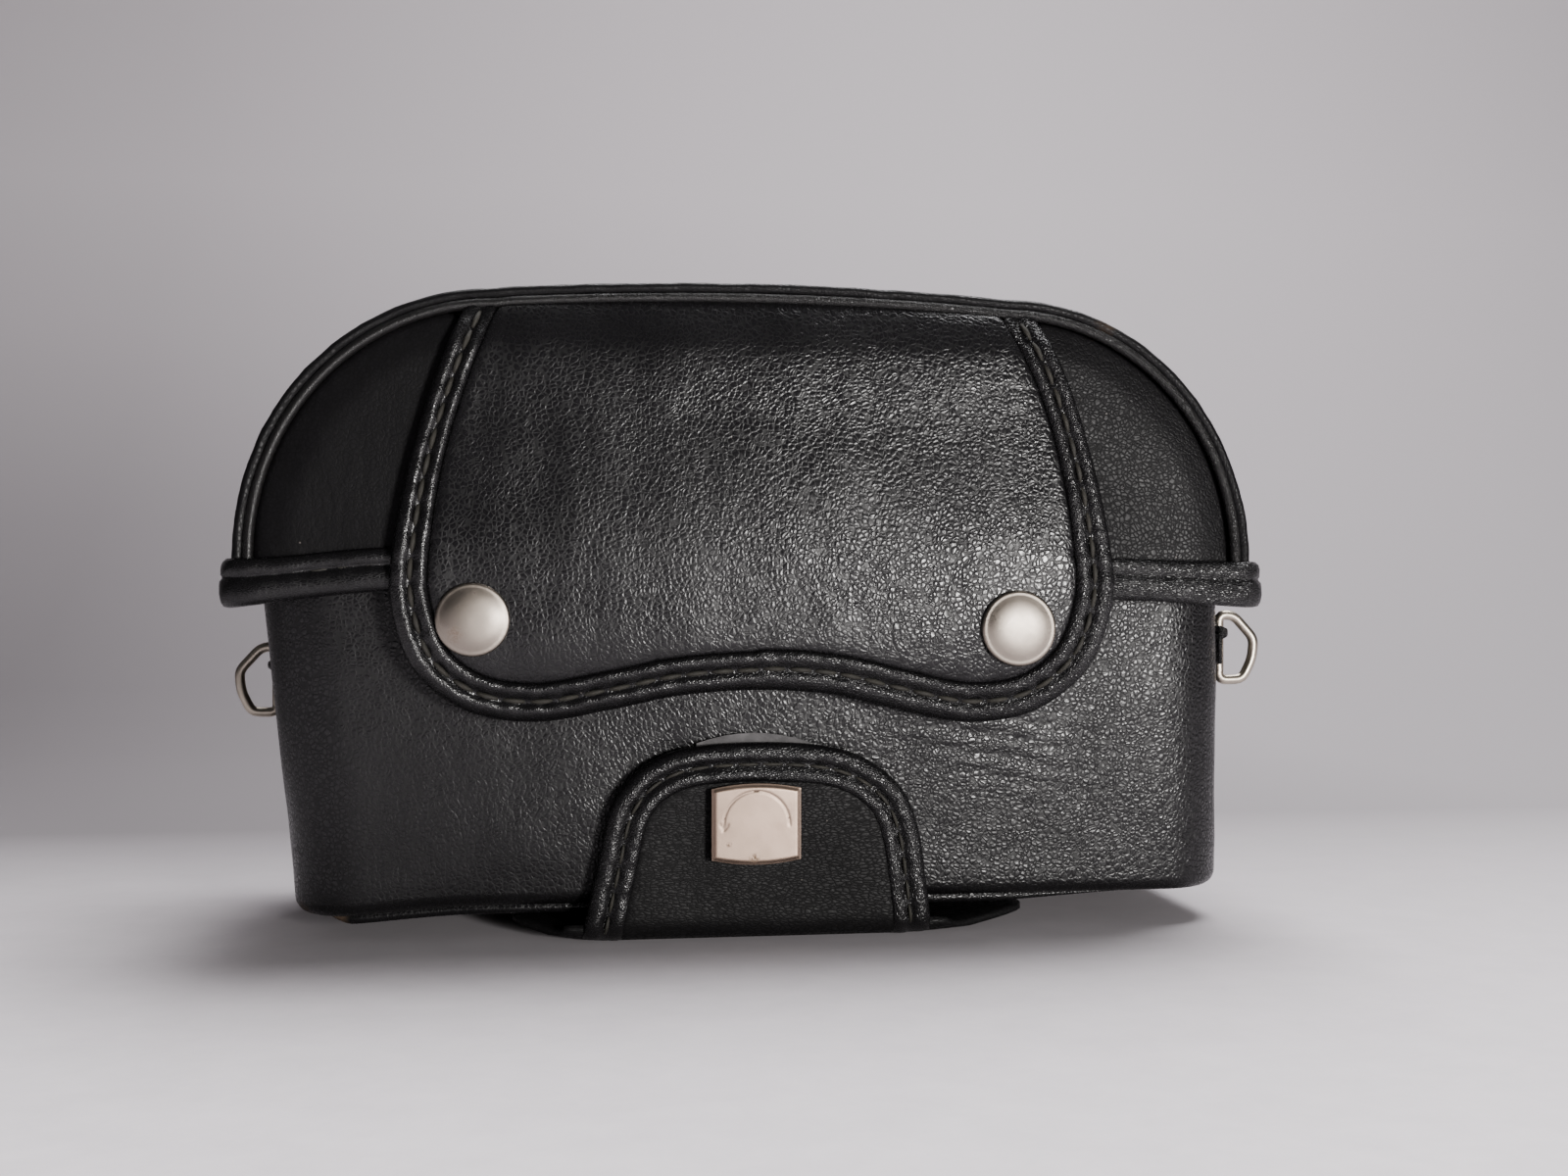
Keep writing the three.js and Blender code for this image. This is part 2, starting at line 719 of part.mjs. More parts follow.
// Body casting: two film chambers, the seat of the film at the back, and a light chamber for each
// lens that runs from the seat to the lens board.
function cameraBody() {
  const { spoolX, spoolY, lensX, lensZ, bodyLow, bodyHigh, front, back } = CAMERA;
  const low = bodyLow + CHAMBER.wall;
  const high = bodyHigh - CHAMBER.wall;
  const filmChamber = (fromX, toX) => block([fromX, CHAMBER.front, low], [toX, back + 1, high]);
  const takeUp = filmChamber(-spoolX - CHAMBER.halfWidth, SPROCKET.x + CHAMBER.sprocketRoom);
  const cassette = filmChamber(spoolX - CHAMBER.halfWidth - 0.4, spoolX + CHAMBER.halfWidth);
  const { halfWidth, halfHeight, y } = DOOR_SEAT;
  const seat = block([-halfWidth, y, lensZ - halfHeight], [halfWidth, back + 1, lensZ + halfHeight]);
  const lightChambers = [-lensX, lensX].map((x) =>
    block(
      [x - GATE.halfWidth, front - 1, lensZ - GATE.halfHeight],
      [x + GATE.halfWidth, y + 1, lensZ + GATE.halfHeight],
    ),
  );
  const shafts = [-spoolX, spoolX].map((x) =>
    upright(x, spoolY, SHAFT.bodyBoreR, bodyHigh - 5, bodyHigh + 5),
  );
  const bush = upright(SCREW.x, SCREW.y, BUSH.boreR, 0, low + 3, 24);
  return cut(cameraSlab(bodyLow, bodyHigh), takeUp, cassette, seat, bush, ...lightChambers, ...shafts);
}

function bottomPlate() {
  const { floor, bodyLow, front, back } = CAMERA;
  const plate = cameraSlab(floor, bodyLow - GAP, front, back + DOOR.back);
  return cut(plate, upright(SCREW.x, SCREW.y, BUSH.boreR, 0, bodyLow + 5, 24));
}

// Top plate in one piece with the viewfinder housing.
function topPlate() {
  const { bodyHigh, topHigh, housingHalf, housingHigh, spoolX, spoolY } = CAMERA;
  const sides = [
    [-housingHalf, topHigh - 1],
    [housingHalf, topHigh - 1],
    [housingHalf - 1.5, housingHigh],
    [-housingHalf + 1.5, housingHigh],
  ];
  const housing = roundedPlate(sides, 4, CAMERA.front, 19);
  const { halfWidth, low, high } = TUNNEL;
  const tunnel = block([-halfWidth, -PIERCE, low], [halfWidth, PIERCE, high]);
  const bores = [-spoolX, spoolX].map((x) =>
    upright(x, spoolY, SHAFT.bodyBoreR, bodyHigh - 5, topHigh + 5),
  );
  const buttonBore = upright(BUTTON.x, BUTTON.y, BUTTON.boreR, bodyHigh - 5, topHigh + 5);
  const dialWell = upright(DIAL.x, DIAL.y, DIAL.wellR, topHigh - DIAL.wellDeep, topHigh + 5, 20);
  const plate = cameraSlab(bodyHigh + GAP, topHigh);
  return cut(join(plate, housing), tunnel, ...bores, buttonBore, dialWell);
}

// A bowed leaf that presses the plate on the film.
function pressureSpring() {
  const { halfLength, halfHeight, front, back, leaf } = SPRING;
  const mid = CAMERA.lensZ;
  const leafOutline = [
    [front, mid - halfHeight],
    [back, mid - 1],
    [back, mid + 1],
    [front, mid + halfHeight],
    [front + leaf, mid + halfHeight],
    [back + 0.3, mid + 1 + leaf],
    [back + 0.3, mid - 1 - leaf],
    [front + leaf, mid - halfHeight],
  ];
  return prismAlongX(leafOutline, -halfLength, halfLength);
}

function lensBoard() {
  const { halfWidth, low, high, corner, thick, boreR } = LENS_BOARD;
  const back = CAMERA.front - GAP;
  const bores = [-CAMERA.lensX, CAMERA.lensX].map((x) =>
    turnedForward(disc(boreR, -PIERCE, PIERCE)).translate(x, 0, CAMERA.lensZ),
  );
  return cut(roundedPlate(rectangle(halfWidth, low, high), corner, back - thick, back), ...bores);
}

function addCameraBody() {
  const { bodyLow, bodyHigh, floor, back, lensZ } = CAMERA;
  add("camera_body", cameraBody(), FINISH.leatherette);
  add("camera_bottom_plate", bottomPlate(), FINISH.chrome);
  add("camera_top_plate", topPlate(), FINISH.chrome);
  const bush = turned(collar(BUSH.innerR, BUSH.outerR, floor + 0.1, floor + BUSH.high));
  add("tripod_bush", bush, FINISH.brass, [SCREW.x, SCREW.y, 0]);
  const doorOutline = rectangle(DOOR.halfWidth, bodyLow, bodyHigh);
  const door = roundedPlate(doorOutline, DOOR.corner, back + GAP, back + DOOR.back);
  add("camera_back_door", door, FINISH.leatherette);
  const { halfWidth, halfHeight, front, back: plateBack } = PRESSURE_PLATE;
  const plateLow = [-halfWidth, front, lensZ - halfHeight];
  const plateHigh = [halfWidth, plateBack, lensZ + halfHeight];
  add("pressure_plate", block(plateLow, plateHigh), FINISH.blackPaint);
  add("pressure_spring", pressureSpring(), FINISH.steel);
  add("lens_board", lensBoard(), FINISH.blackPaint);
}

// ---- lenses -------------------------------------------------------------------------------

const LENS = {
  boreR: 7,
  barrelR: 10.5,
  flangeR: 14.5,
  flange: 2,
  long: 14.5,
  glassR: 6.6,
  aperture: { r: 13.6, low: 2.3, high: 6.3, notches: 12 },
  focus: { r: 13.2, low: 6.7, high: 14.2, notches: 18 },
  shutter: { low: 2.4, high: 2.9 },
};

// One taking lens; heights grow forwards from the lens board.
function addLens(name, x) {
  const { boreR, barrelR, flangeR, flange, long, glassR, shutter } = LENS;
  const at = [x, CAMERA.front - LENS_BOARD.thick - 2 * GAP, CAMERA.lensZ];
  const mount = [
    [boreR, 0],
    [flangeR, 0],
    [flangeR, flange],
    [barrelR, flange],
    [barrelR, long],
    [boreR, long],
    [boreR, 0],
  ];
  add(`lens_mount_${name}`, turnedForward(mount), FINISH.chrome, at);
  add(`aperture_ring_${name}`, lensRing(LENS.aperture), FINISH.blackPaint, at);
  add(`focus_ring_${name}`, lensRing(LENS.focus), FINISH.chrome, at);
  const glass = [
    [0, 8.4],
    [glassR, 8.4],
    [glassR, 10.6],
    [4, 11.8],
    [0, 12.3],
  ];
  add(`front_lens_${name}`, turnedForward(glass), FINISH.glass, at);
  const blades = turnedForward(disc(glassR, shutter.low, shutter.high));
  add(`shutter_blades_${name}`, blades, FINISH.steel, at);
}

const lensRing = ({ r, low, high, notches }) =>
  gripRing(LENS.barrelR + GAP, r, low, high, notches).rotateX(Math.PI / 2);

// A ring with shallow finger notches round it.
function gripRing(inner, outer, low, high, notches) {
  const shape = new THREE.Shape();
  const corners = 4 * notches;
  for (let i = 0; i < corners; i += 1) {
    const radius = Math.floor(i / 2) % 2 ? outer - 0.5 : outer;
    const angle = (i / corners) * 2 * Math.PI;
    shape[i ? "lineTo" : "moveTo"](radius * Math.cos(angle), radius * Math.sin(angle));
  }
  const hole = new THREE.Path();
  hole.absarc(0, 0, inner, 0, 2 * Math.PI, true);
  shape.holes.push(hole);
  const options = { depth: high - low, bevelEnabled: false, curveSegments: 12 };
  return new THREE.ExtrudeGeometry(shape, options).translate(0, 0, low);
}

// ---- controls -----------------------------------------------------------------------------

// Spool whose shaft carries the advance knob.
function takeUpSpool() {
  const { bodyLow, bodyHigh, topHigh } = CAMERA;
  const low = bodyLow + CHAMBER.wall + 0.4;
  const high = bodyHigh - CHAMBER.wall - 0.6;
  const flangeR = CHAMBER.halfWidth - 0.6;
  const profile = [
    [0, low],
    [flangeR, low],
    [flangeR, low + 1],
    [4, low + 1],
    [4, high - 1],
    [flangeR, high - 1],
    [flangeR, high],
    [SHAFT.r, high],
    [SHAFT.r, topHigh + 8.4],
    [0, topHigh + 8.4],
  ];
  return turned(profile, 20);
}

// Shaft of the rewind knob with the fork that enters the cassette.
function rewindFork() {
  const { bodyHigh, topHigh } = CAMERA;
  const shaft = turned(disc(SHAFT.r, bodyHigh - 9, topHigh + 6.4), 16);
  return cut(shaft, block([-0.8, -5, bodyHigh - 10], [0.8, 5, bodyHigh - 5.5]));
}

// Film drive shaft with two toothed wheels.
function sprocketShaft() {
  const { bodyLow, bodyHigh, lensZ } = CAMERA;
  const { coreR, wheelR, wheelHalf, spread } = SPROCKET;
  const core = turned(disc(coreR, bodyLow + CHAMBER.wall + 0.4, bodyHigh - CHAMBER.wall - 0.4), 12);
  const wheel = (z) => turned(disc(wheelR, z - wheelHalf, z + wheelHalf), 16);
  return join(core, wheel(lensZ - spread), wheel(lensZ + spread));
}

function shutterButton() {
  const top = CAMERA.topHigh;
  const profile = [
    [0, top - 1],
    [BUTTON.r, top - 1],
    [BUTTON.r, top + 2.6],
    [BUTTON.r - 0.6, top + 3.2],
    [0, top + 3],
  ];
  return turned(profile, 20);
}

function addControls() {
  const { topHigh, spoolX, spoolY } = CAMERA;
  const knobLow = topHigh + 0.4;
  const takeUpAt = [-spoolX, spoolY, 0];
  const rewindAt = [spoolX, spoolY, 0];
  const advanceKnob = gripRing(SHAFT.knobBoreR, 10.2, knobLow, topHigh + 9, 16);
  const rewindKnob = gripRing(SHAFT.knobBoreR, 9.4, knobLow, topHigh + 7, 14);
  add("advance_knob", advanceKnob, FINISH.chrome, takeUpAt);
  add("take_up_spool", takeUpSpool(), FINISH.blackPaint, takeUpAt);
  add("rewind_knob", rewindKnob, FINISH.chrome, rewindAt);
  add("rewind_fork", rewindFork(), FINISH.steel, rewindAt);
  add("sprocket_shaft", sprocketShaft(), FINISH.steel, [SPROCKET.x, SPROCKET.y, 0]);
  add("shutter_button", shutterButton(), FINISH.chrome, [BUTTON.x, BUTTON.y, 0]);
  const counter = turned(disc(DIAL.r, topHigh - 1.1, topHigh + 0.5), 20);
  add("frame_counter", counter, FINISH.blackPaint, [DIAL.x, DIAL.y, 0]);
}

// ---- finder and shoe ----------------------------------------------------------------------

// Base plate with two rails whose lips reach inwards over the slot.
function accessoryShoe() {
  const { halfWidth, front, back, base, rail, lip, high, lipThick } = SHOE;
  const low = CAMERA.housingHigh + GAP;
  const bar = (side, width, from, to) => {
    const [a, b] = [side * halfWidth, side * (halfWidth - width)].sort((p, q) => p - q);
    return block([a, front, low + from], [b, back, low + to]);
  };
  const plate = block([-halfWidth, front, low], [halfWidth, back, low + base]);
  const rails = [-1, 1].flatMap((side) => [
    bar(side, rail, base - 0.3, high),
    bar(side, lip, high - lipThick, high),
  ]);
  return join(plate, ...rails);
}

function addFinder() {
  const pane = (front, back) => {
    const half = TUNNEL.halfWidth - GAP;
    return block([-half, front, TUNNEL.low + GAP], [half, back, TUNNEL.high - GAP]);
  };
  add("finder_front_window", pane(-4.6, -3), FINISH.glass);
  add("finder_eyepiece", pane(14, 16), FINISH.glass);
  add("accessory_shoe", accessoryShoe(), FINISH.chrome);
}

// ---- assembly -----------------------------------------------------------------------------

addLowerCase();
addCover();
addFrontFlap();
addBaseFlap();
addLock();
add("case_screw", caseScrew(), FINISH.nickel, [SCREW.x, SCREW.y, 0]);
addCameraBody();
addLens("left", -CAMERA.lensX);
addLens("right", CAMERA.lensX);
addControls();
addFinder();

export default group;
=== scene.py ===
import math
from bisect import bisect_left
import bpy
import bmesh
import numpy as np
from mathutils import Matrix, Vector, noise
from mathutils.geometry import delaunay_2d_cdt


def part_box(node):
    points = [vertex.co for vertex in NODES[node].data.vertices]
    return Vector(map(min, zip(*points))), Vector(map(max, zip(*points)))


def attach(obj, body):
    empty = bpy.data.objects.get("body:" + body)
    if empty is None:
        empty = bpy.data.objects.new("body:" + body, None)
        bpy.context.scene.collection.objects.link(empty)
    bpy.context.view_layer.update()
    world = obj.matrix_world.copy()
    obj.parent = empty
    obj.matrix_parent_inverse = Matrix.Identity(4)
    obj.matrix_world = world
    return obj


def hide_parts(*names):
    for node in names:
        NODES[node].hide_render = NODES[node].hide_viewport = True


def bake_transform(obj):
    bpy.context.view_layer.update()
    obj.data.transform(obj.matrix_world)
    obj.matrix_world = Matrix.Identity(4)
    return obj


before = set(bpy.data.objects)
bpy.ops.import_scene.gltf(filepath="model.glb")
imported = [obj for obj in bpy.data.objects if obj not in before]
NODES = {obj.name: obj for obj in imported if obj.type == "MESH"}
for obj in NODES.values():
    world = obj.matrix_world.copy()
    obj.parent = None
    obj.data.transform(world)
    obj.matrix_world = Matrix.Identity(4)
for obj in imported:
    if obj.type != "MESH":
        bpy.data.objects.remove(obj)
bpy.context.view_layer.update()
MM = 0.001  # all shapes below are drawn in millimetres

# ---- driving sizes ----

# How far the tub reaches from its middle, at its foot and at its rim.
CASE_FOOT = {"left": 78, "right": 87.6, "front": 30.8, "back": 31}
CASE_RIM = {"left": 84, "right": 87.2, "front": 32.6, "back": 33}
CASE_LOW, CASE_HIGH, CASE_CORNER = 6, 64, 12
# The cover's arch: its heights, and for each side its reach and where the flat top ends.
ARCH_FOOT, ARCH_SHOULDER, ARCH_CROWN = 66.1, 110.6, 1.8
ARCH_SIDES = {"left": (86.2, 43.5), "right": (88.1, 45.5)}
COVER_HEM = 64.4  # where its leather ends inside the rim band
# The cover is deepest at its rim and tapers upwards.
COVER_RIM_HEIGHT, COVER_RIM_DEPTH, COVER_TAPER = 59, 36, 2.4 / 53
# The flap's open edge in (x, z), from its right root round both lobes to its left root.
FLAP_EDGE = [
    (48.6, 109.4), (54.4, 97), (58.6, 83), (61.4, 69), (62, 58.3), (57.8, 46.4), (48.8, 39),
    (37, 37.1), (24.7, 39.4), (12.6, 42.2), (0, 43), (-12.6, 42.2), (-24.7, 39.8), (-37, 37.9),
    (-48.4, 39.9), (-57, 46.9), (-60.7, 58.3), (-60, 69), (-57.2, 83), (-53, 97), (-48.2, 109.2),
]
# How far forward the back of the flap stands at each height.
FLAP_BACK = [
    (36, 34.6), (42, 36.1), (48, 37.5), (61, 38), (66, 38), (88, 36.4), (103, 35), (106.5, 34.2),
    (110, 32.6),
]
# The tab's open edge in (x, z), from its left foot over the top to its right foot.
TAB_EDGE = [
    (-29.2, 0.9), (-28.9, 3), (-27.8, 8.5), (-26.4, 15), (-25, 21.5), (-22.8, 26), (-18.8, 30.1), (-12, 33),
    (0, 33.9), (12.7, 33.1), (20.6, 30.2), (26, 25.2), (28.7, 18.6), (29.9, 10.6), (30.8, 3), (31.1, 0.9),
]
SNAPS = {"left": (-47.3, 55.1), "right": (44.9, 53.4)}  # (x, z) of the caps
LOCK_Z = 20.3
SKIN_STEP = 1.6  # spacing of the points round the tub
BAND_STEP = 1.1  # and round the rim band
STITCH_PITCH = 4.2


# ---- small helpers ----

def mix(a, b, t):
    return a + (b - a) * t


def ease(t):
    t = min(max(t, 0.0), 1.0)
    return t * t * (3 - 2 * t)


def rough(x, y, z, size):
    """Smooth noise between about -1 and 1 with features of the given size."""
    return noise.noise(Vector((x / size, y / size, z / size)))


def table(pairs):
    """A function that runs smoothly through pairs of position and value."""
    xs, ys = np.array(pairs, float).T
    slopes = np.gradient(ys, xs)

    def value(x):
        x = min(max(x, xs[0]), xs[-1])
        i = min(int(np.searchsorted(xs, x, "right")) - 1, len(xs) - 2)
        h = xs[i + 1] - xs[i]
        t = (x - xs[i]) / h
        a = (2 * t**3 - 3 * t**2 + 1) * ys[i] + (t**3 - 2 * t**2 + t) * h * slopes[i]
        return a + (-2 * t**3 + 3 * t**2) * ys[i + 1] + (t**3 - t**2) * h * slopes[i + 1]

    return value


def distances(line):
    """How far along a line each of its points lies."""
    found = [0.0]
    for a, b in zip(line, line[1:]):
        found.append(found[-1] + (b - a).length)
    return found


def point_at(line, lengths, s):
    """The point that lies at a distance along a line whose points lie at the given lengths."""
    i = min(max(bisect_left(lengths, s) - 1, 0), len(line) - 2)
    return line[i].lerp(line[i + 1], (s - lengths[i]) / max(lengths[i + 1] - lengths[i], 1e-9))


def even(points, step, closed=False, count=None):
    """The same line with points a step apart, or with a given count of them."""
    pts = [Vector(p) for p in points]
    if closed:
        pts.append(pts[0])
    lengths = distances(pts)
    count = count or max(int(lengths[-1] / step), 2)
    return [point_at(pts, lengths, lengths[-1] * i / count) for i in range(count if closed else count + 1)]


def smooth_line(points, step):
    """Catmull-Rom curve through the points, with points a step apart."""
    p = [Vector(q) for q in points]
    p = [2 * p[0] - p[1], *p, 2 * p[-1] - p[-2]]
    fine = []
    for a, b, c, d in zip(p, p[1:], p[2:], p[3:]):
        for i in range(12):
            t = i / 12
            fine.append(0.5 * ((2 * b) + (c - a) * t + (2 * a - 5 * b + 4 * c - d) * t * t
                               + (3 * b - a - 3 * c + d) * t**3))
    return even([*fine, p[-2]], step)


def headings(line, closed):
    """Unit vectors along a line, one for each point."""
    n = len(line)
    if closed:
        return [(line[(i + 1) % n] - line[i - 1]).normalized() for i in range(n)]
    return [(line[min(i + 1, n - 1)] - line[max(i - 1, 0)]).normalized() for i in range(n)]


def sides_of(line, closed=False):
    """Unit vectors to the right of a flat line, one for each point."""
    return [Vector((along.y, -along.x)) for along in headings(line, closed)]


def circle(centre, across, up, radius, sides):
    """Points of a circle that lies along two unit vectors."""
    angles = [2 * math.pi * k / sides for k in range(sides)]
    return [centre + across * (radius * math.cos(a)) + up * (radius * math.sin(a)) for a in angles]


def place(name, data):
    obj = bpy.data.objects.new(name, data)
    bpy.context.collection.objects.link(obj)
    return obj


def piece(name, verts, faces, material, body=None):
    """A closed smooth mesh object from points in millimetres."""
    bm = bmesh.new()
    made = [bm.verts.new(Vector(v) * MM) for v in verts]
    for f in faces:
        bm.faces.new([made[i] for i in f])
    bmesh.ops.recalc_face_normals(bm, faces=bm.faces)
    mesh = bpy.data.meshes.new(name)
    bm.to_mesh(mesh)
    bm.free()
    mesh.shade_smooth()
    mesh.materials.append(material)
    obj = place(name, mesh)
    if body:
        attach(obj, body)
    return obj


def sheet(name, front, back, rows, columns, material, body=None):
    """A closed sheet between two grids of points, front and back, each of rows times columns."""
    n, faces = rows * columns, []
    for base in (0, n):
        for i in range(rows - 1):
            for k in range(columns - 1):
                a = base + i * columns + k
                faces.append((a, a + 1, a + columns + 1, a + columns))
    rim = [*range(columns), *(i * columns + columns - 1 for i in range(1, rows)),
           *((rows - 1) * columns + k for k in range(columns - 2, -1, -1)),
           *(i * columns for i in range(rows - 2, 0, -1))]
    for a, b in zip(rim, rim[1:] + rim[:1]):
        faces.append((a, b, b + n, a + n))
    return piece(name, front + back, faces, material, body)


def tube_faces(rows, columns, closed):
    """Quads of a skin over rows of closed loops, with the two ends filled unless it is closed."""
    faces = []
    for i in range(rows if closed else rows - 1):
        j = (i + 1) % rows
        for k in range(columns):
            m = (k + 1) % columns
            faces.append((i * columns + k, i * columns + m, j * columns + m, j * columns + k))
    if not closed:
        faces.append(tuple(range(columns)))
        faces.append(tuple((rows - 1) * columns + k for k in range(columns)))
    return faces


def cord_along(name, line, radii, material, body, closed=False):
    """A round cord or wire along a line in space, with a radius for each point."""
    verts, sides, turn = [], 12, None
    for p, along, radius in zip(line, headings(line, closed), radii):
        turn = along.orthogonal() if turn is None else turn
        turn = (turn - along * turn.dot(along)).normalized()
        verts += circle(p, turn, along.cross(turn), radius, sides)
    return piece(name, verts, tube_faces(len(line), sides, closed), material, body)


def stitches(name, line, outs, body, pitch=STITCH_PITCH, length=3.3, radius=0.3):
    """A row of thread stitches lying on a line: each is a short bowed thread whose ends dive in."""
    steps, sides, first = 6, 6, 2.0
    lengths = distances(line)

    verts, faces, s = [], [], first
    while s + length < lengths[-1]:
        base = len(verts)
        for i in range(steps + 1):
            here, bow = s + length * i / steps, math.sin(math.pi * i / steps)
            p, out = point_at(line, lengths, here), point_at(outs, lengths, here)
            ahead = point_at(line, lengths, min(here + 0.2, lengths[-1]))
            side = (ahead - p).cross(out).normalized()
            p = p + out * (radius * (1.1 * bow - 0.5))
            verts += circle(p, side, out, radius * (0.55 + 0.45 * bow), sides)
        faces += [tuple(base + i for i in face) for face in tube_faces(steps + 1, sides, False)]
        s += pitch * (1 + 0.06 * rough(s, 3, 7, 5))
    return piece(name, verts, faces, THREAD, body)


def grid_inside(ring, low, high, step):
    """Staggered rows of points inside a closed ring, a little clear of its edge."""
    row, z = 0, low[1]
    grid = []
    while z < high[1]:
        x = low[0] + (step / 2 if row % 2 else 0)
        while x < high[0]:
            grid.append((x, z))
            x += step
        z += step * 0.866
        row += 1
    grid = np.array(grid)
    x, z = grid.T
    inside = np.zeros(len(grid), bool)
    for (x0, z0), (x1, z1) in zip(ring, np.roll(ring, -1, 0)):
        inside ^= ((z0 > z) != (z1 > z)) & (x < (x1 - x0) * (z - z0) / (z1 - z0 + 1e-12) + x0)
    near = np.sqrt(((grid[:, None, :] - ring[None, ::2, :]) ** 2).sum(2)).min(1)
    return grid[inside & (near > step * 0.6)]


def leather_panel(name, outline, face, thick, material, body, step, rim=1.1, lining=None):
    """A sheet of leather. outline runs round in X and Z, face(x, z) is the y of its visible side
    and thick reaches from there to the hidden side, which may be lined. Its rim is rounded."""
    ring = even(outline, step, closed=True)
    area = sum(a.x * b.y - b.x * a.y for a, b in zip(ring, ring[1:] + ring[:1]))
    inward = [n * (-1 if area > 0 else 1) for n in sides_of(ring, closed=True)]
    levels = [0.0, 0.12, 0.4, 1.0]
    points = [p + n * (rim * level) for level in levels for p, n in zip(ring, inward)]
    border = np.array([(p.x, p.y) for p in ring])
    inner = np.array([(p.x, p.y) for p in points[-len(ring):]])
    grid = grid_inside(inner, border.min(0), border.max(0), step)
    count = len(ring)
    flat = points + [Vector(p) for p in grid]
    edges = [(i, (i + 1) % count) for i in range(count)]
    spots, _, triangles, sources, *_ = delaunay_2d_cdt(flat, edges, [], 1, 1e-4)
    sign = 1 if thick < 0 else -1
    drops = []
    for source in sources:
        i = source[0] if source else len(points)
        level = levels[i // count] if i < len(points) else 1.0
        drops.append(abs(thick) / 2 * (1 - math.sqrt(1 - (1 - level) ** 2)))
    front = [(p.x, face(p.x, p.y) - sign * d, p.y) for p, d in zip(spots, drops)]
    back = [(p.x, face(p.x, p.y) + thick + sign * d, p.y) for p, d in zip(spots, drops)]
    on_rim = {i for i, source in enumerate(sources) if source and source[0] < count}
    n = len(spots)
    hidden = [i if i in on_rim else i + n for i in range(n)]
    faces = [tuple(t) for t in triangles] + [tuple(hidden[i] for i in reversed(t)) for t in triangles]
    used = sorted({i for f in faces for i in f})
    order = {i: k for k, i in enumerate(used)}
    verts = front + back
    obj = piece(name, [verts[i] for i in used], [tuple(order[i] for i in f) for f in faces], material, body)
    if lining:
        obj.data.materials.append(lining)
        for polygon in obj.data.polygons:
            polygon.material_index = int(polygon.normal.y * sign < -0.5)
    return obj


# ---- materials ----

class Nodes:
    """Short calls for building a node material."""

    def __init__(self, name):
        self.material = bpy.data.materials.new(name)
        self.material.use_nodes = True
        self.tree = self.material.node_tree
        self.shader = self.tree.nodes["Principled BSDF"]

    def add(self, kind, settings=None, **inputs):
        node = self.tree.nodes.new(kind)
        for key, value in (settings or {}).items():
            setattr(node, key, value)
        for key, value in inputs.items():
            self.feed(node.inputs[key.replace("_", " ")], value)
        return node

    def feed(self, socket, value):
        if isinstance(value, bpy.types.NodeSocket):
            self.tree.links.new(value, socket)
        else:
            socket.default_value = value

    def set(self, **inputs):
        for key, value in inputs.items():
            self.feed(self.shader.inputs[key.replace("_", " ")], value)

    def where(self, stretch=(1, 1, 1)):
        coordinates = self.add("ShaderNodeTexCoord").outputs["Object"]
        if stretch == (1, 1, 1):
            return coordinates
        return self.add("ShaderNodeMapping", Vector=coordinates, Scale=stretch).outputs[0]

    def noise(self, at, scale, detail=3.0, roughness=0.5):
        return self.add("ShaderNodeTexNoise", Vector=at, Scale=scale, Detail=detail,
                        Roughness=roughness).outputs["Fac"]

    def calc(self, operation, a, b=0.0, c=0.0):
        node = self.add("ShaderNodeMath", {"operation": operation})
        for socket, value in zip(node.inputs, (a, b, c)):
            self.feed(socket, value)
        return node.outputs[0]

    def span(self, value, low, high, to_low=0.0, to_high=1.0):
        node = self.add("ShaderNodeMapRange", Value=value)
        for i, number in enumerate((low, high, to_low, to_high)):
            node.inputs[i + 1].default_value = number
        return node.outputs[0]

    def blend(self, factor, *colours):
        """Mixes two colours, each a socket or red, green and blue."""
        node = self.add("ShaderNodeMix", {"data_type": "RGBA"})
        self.feed(node.inputs["Factor"], factor)
        for socket, colour in zip(node.inputs[6:8], colours):
            self.feed(socket, colour if isinstance(colour, bpy.types.NodeSocket) else (*colour, 1))
        return node.outputs[2]

    def bump(self, height, distance, strength=1.0, normal=None):
        node = self.add("ShaderNodeBump", Height=height, Distance=distance, Strength=strength)
        if normal is not None:
            self.feed(node.inputs["Normal"], normal)
        return node.outputs[0]

    def spot(self, centre, radius, soft=0.6):
        """1 at a point of the object, falling to 0 at the radius, with a ragged edge."""
        at, ragged_by = self.where(), 0.9
        apart = self.add("ShaderNodeVectorMath", {"operation": "DISTANCE"})
        self.feed(apart.inputs[0], at)
        apart.inputs[1].default_value = [c * MM for c in centre]
        reach = self.calc("MULTIPLY_ADD", self.noise(at, 900), radius * MM * ragged_by,
                          apart.outputs["Value"])
        return self.span(reach, radius * MM * (1 + ragged_by / 2), radius * MM * soft)


def shade(colour, factor):
    return [c * factor for c in colour]


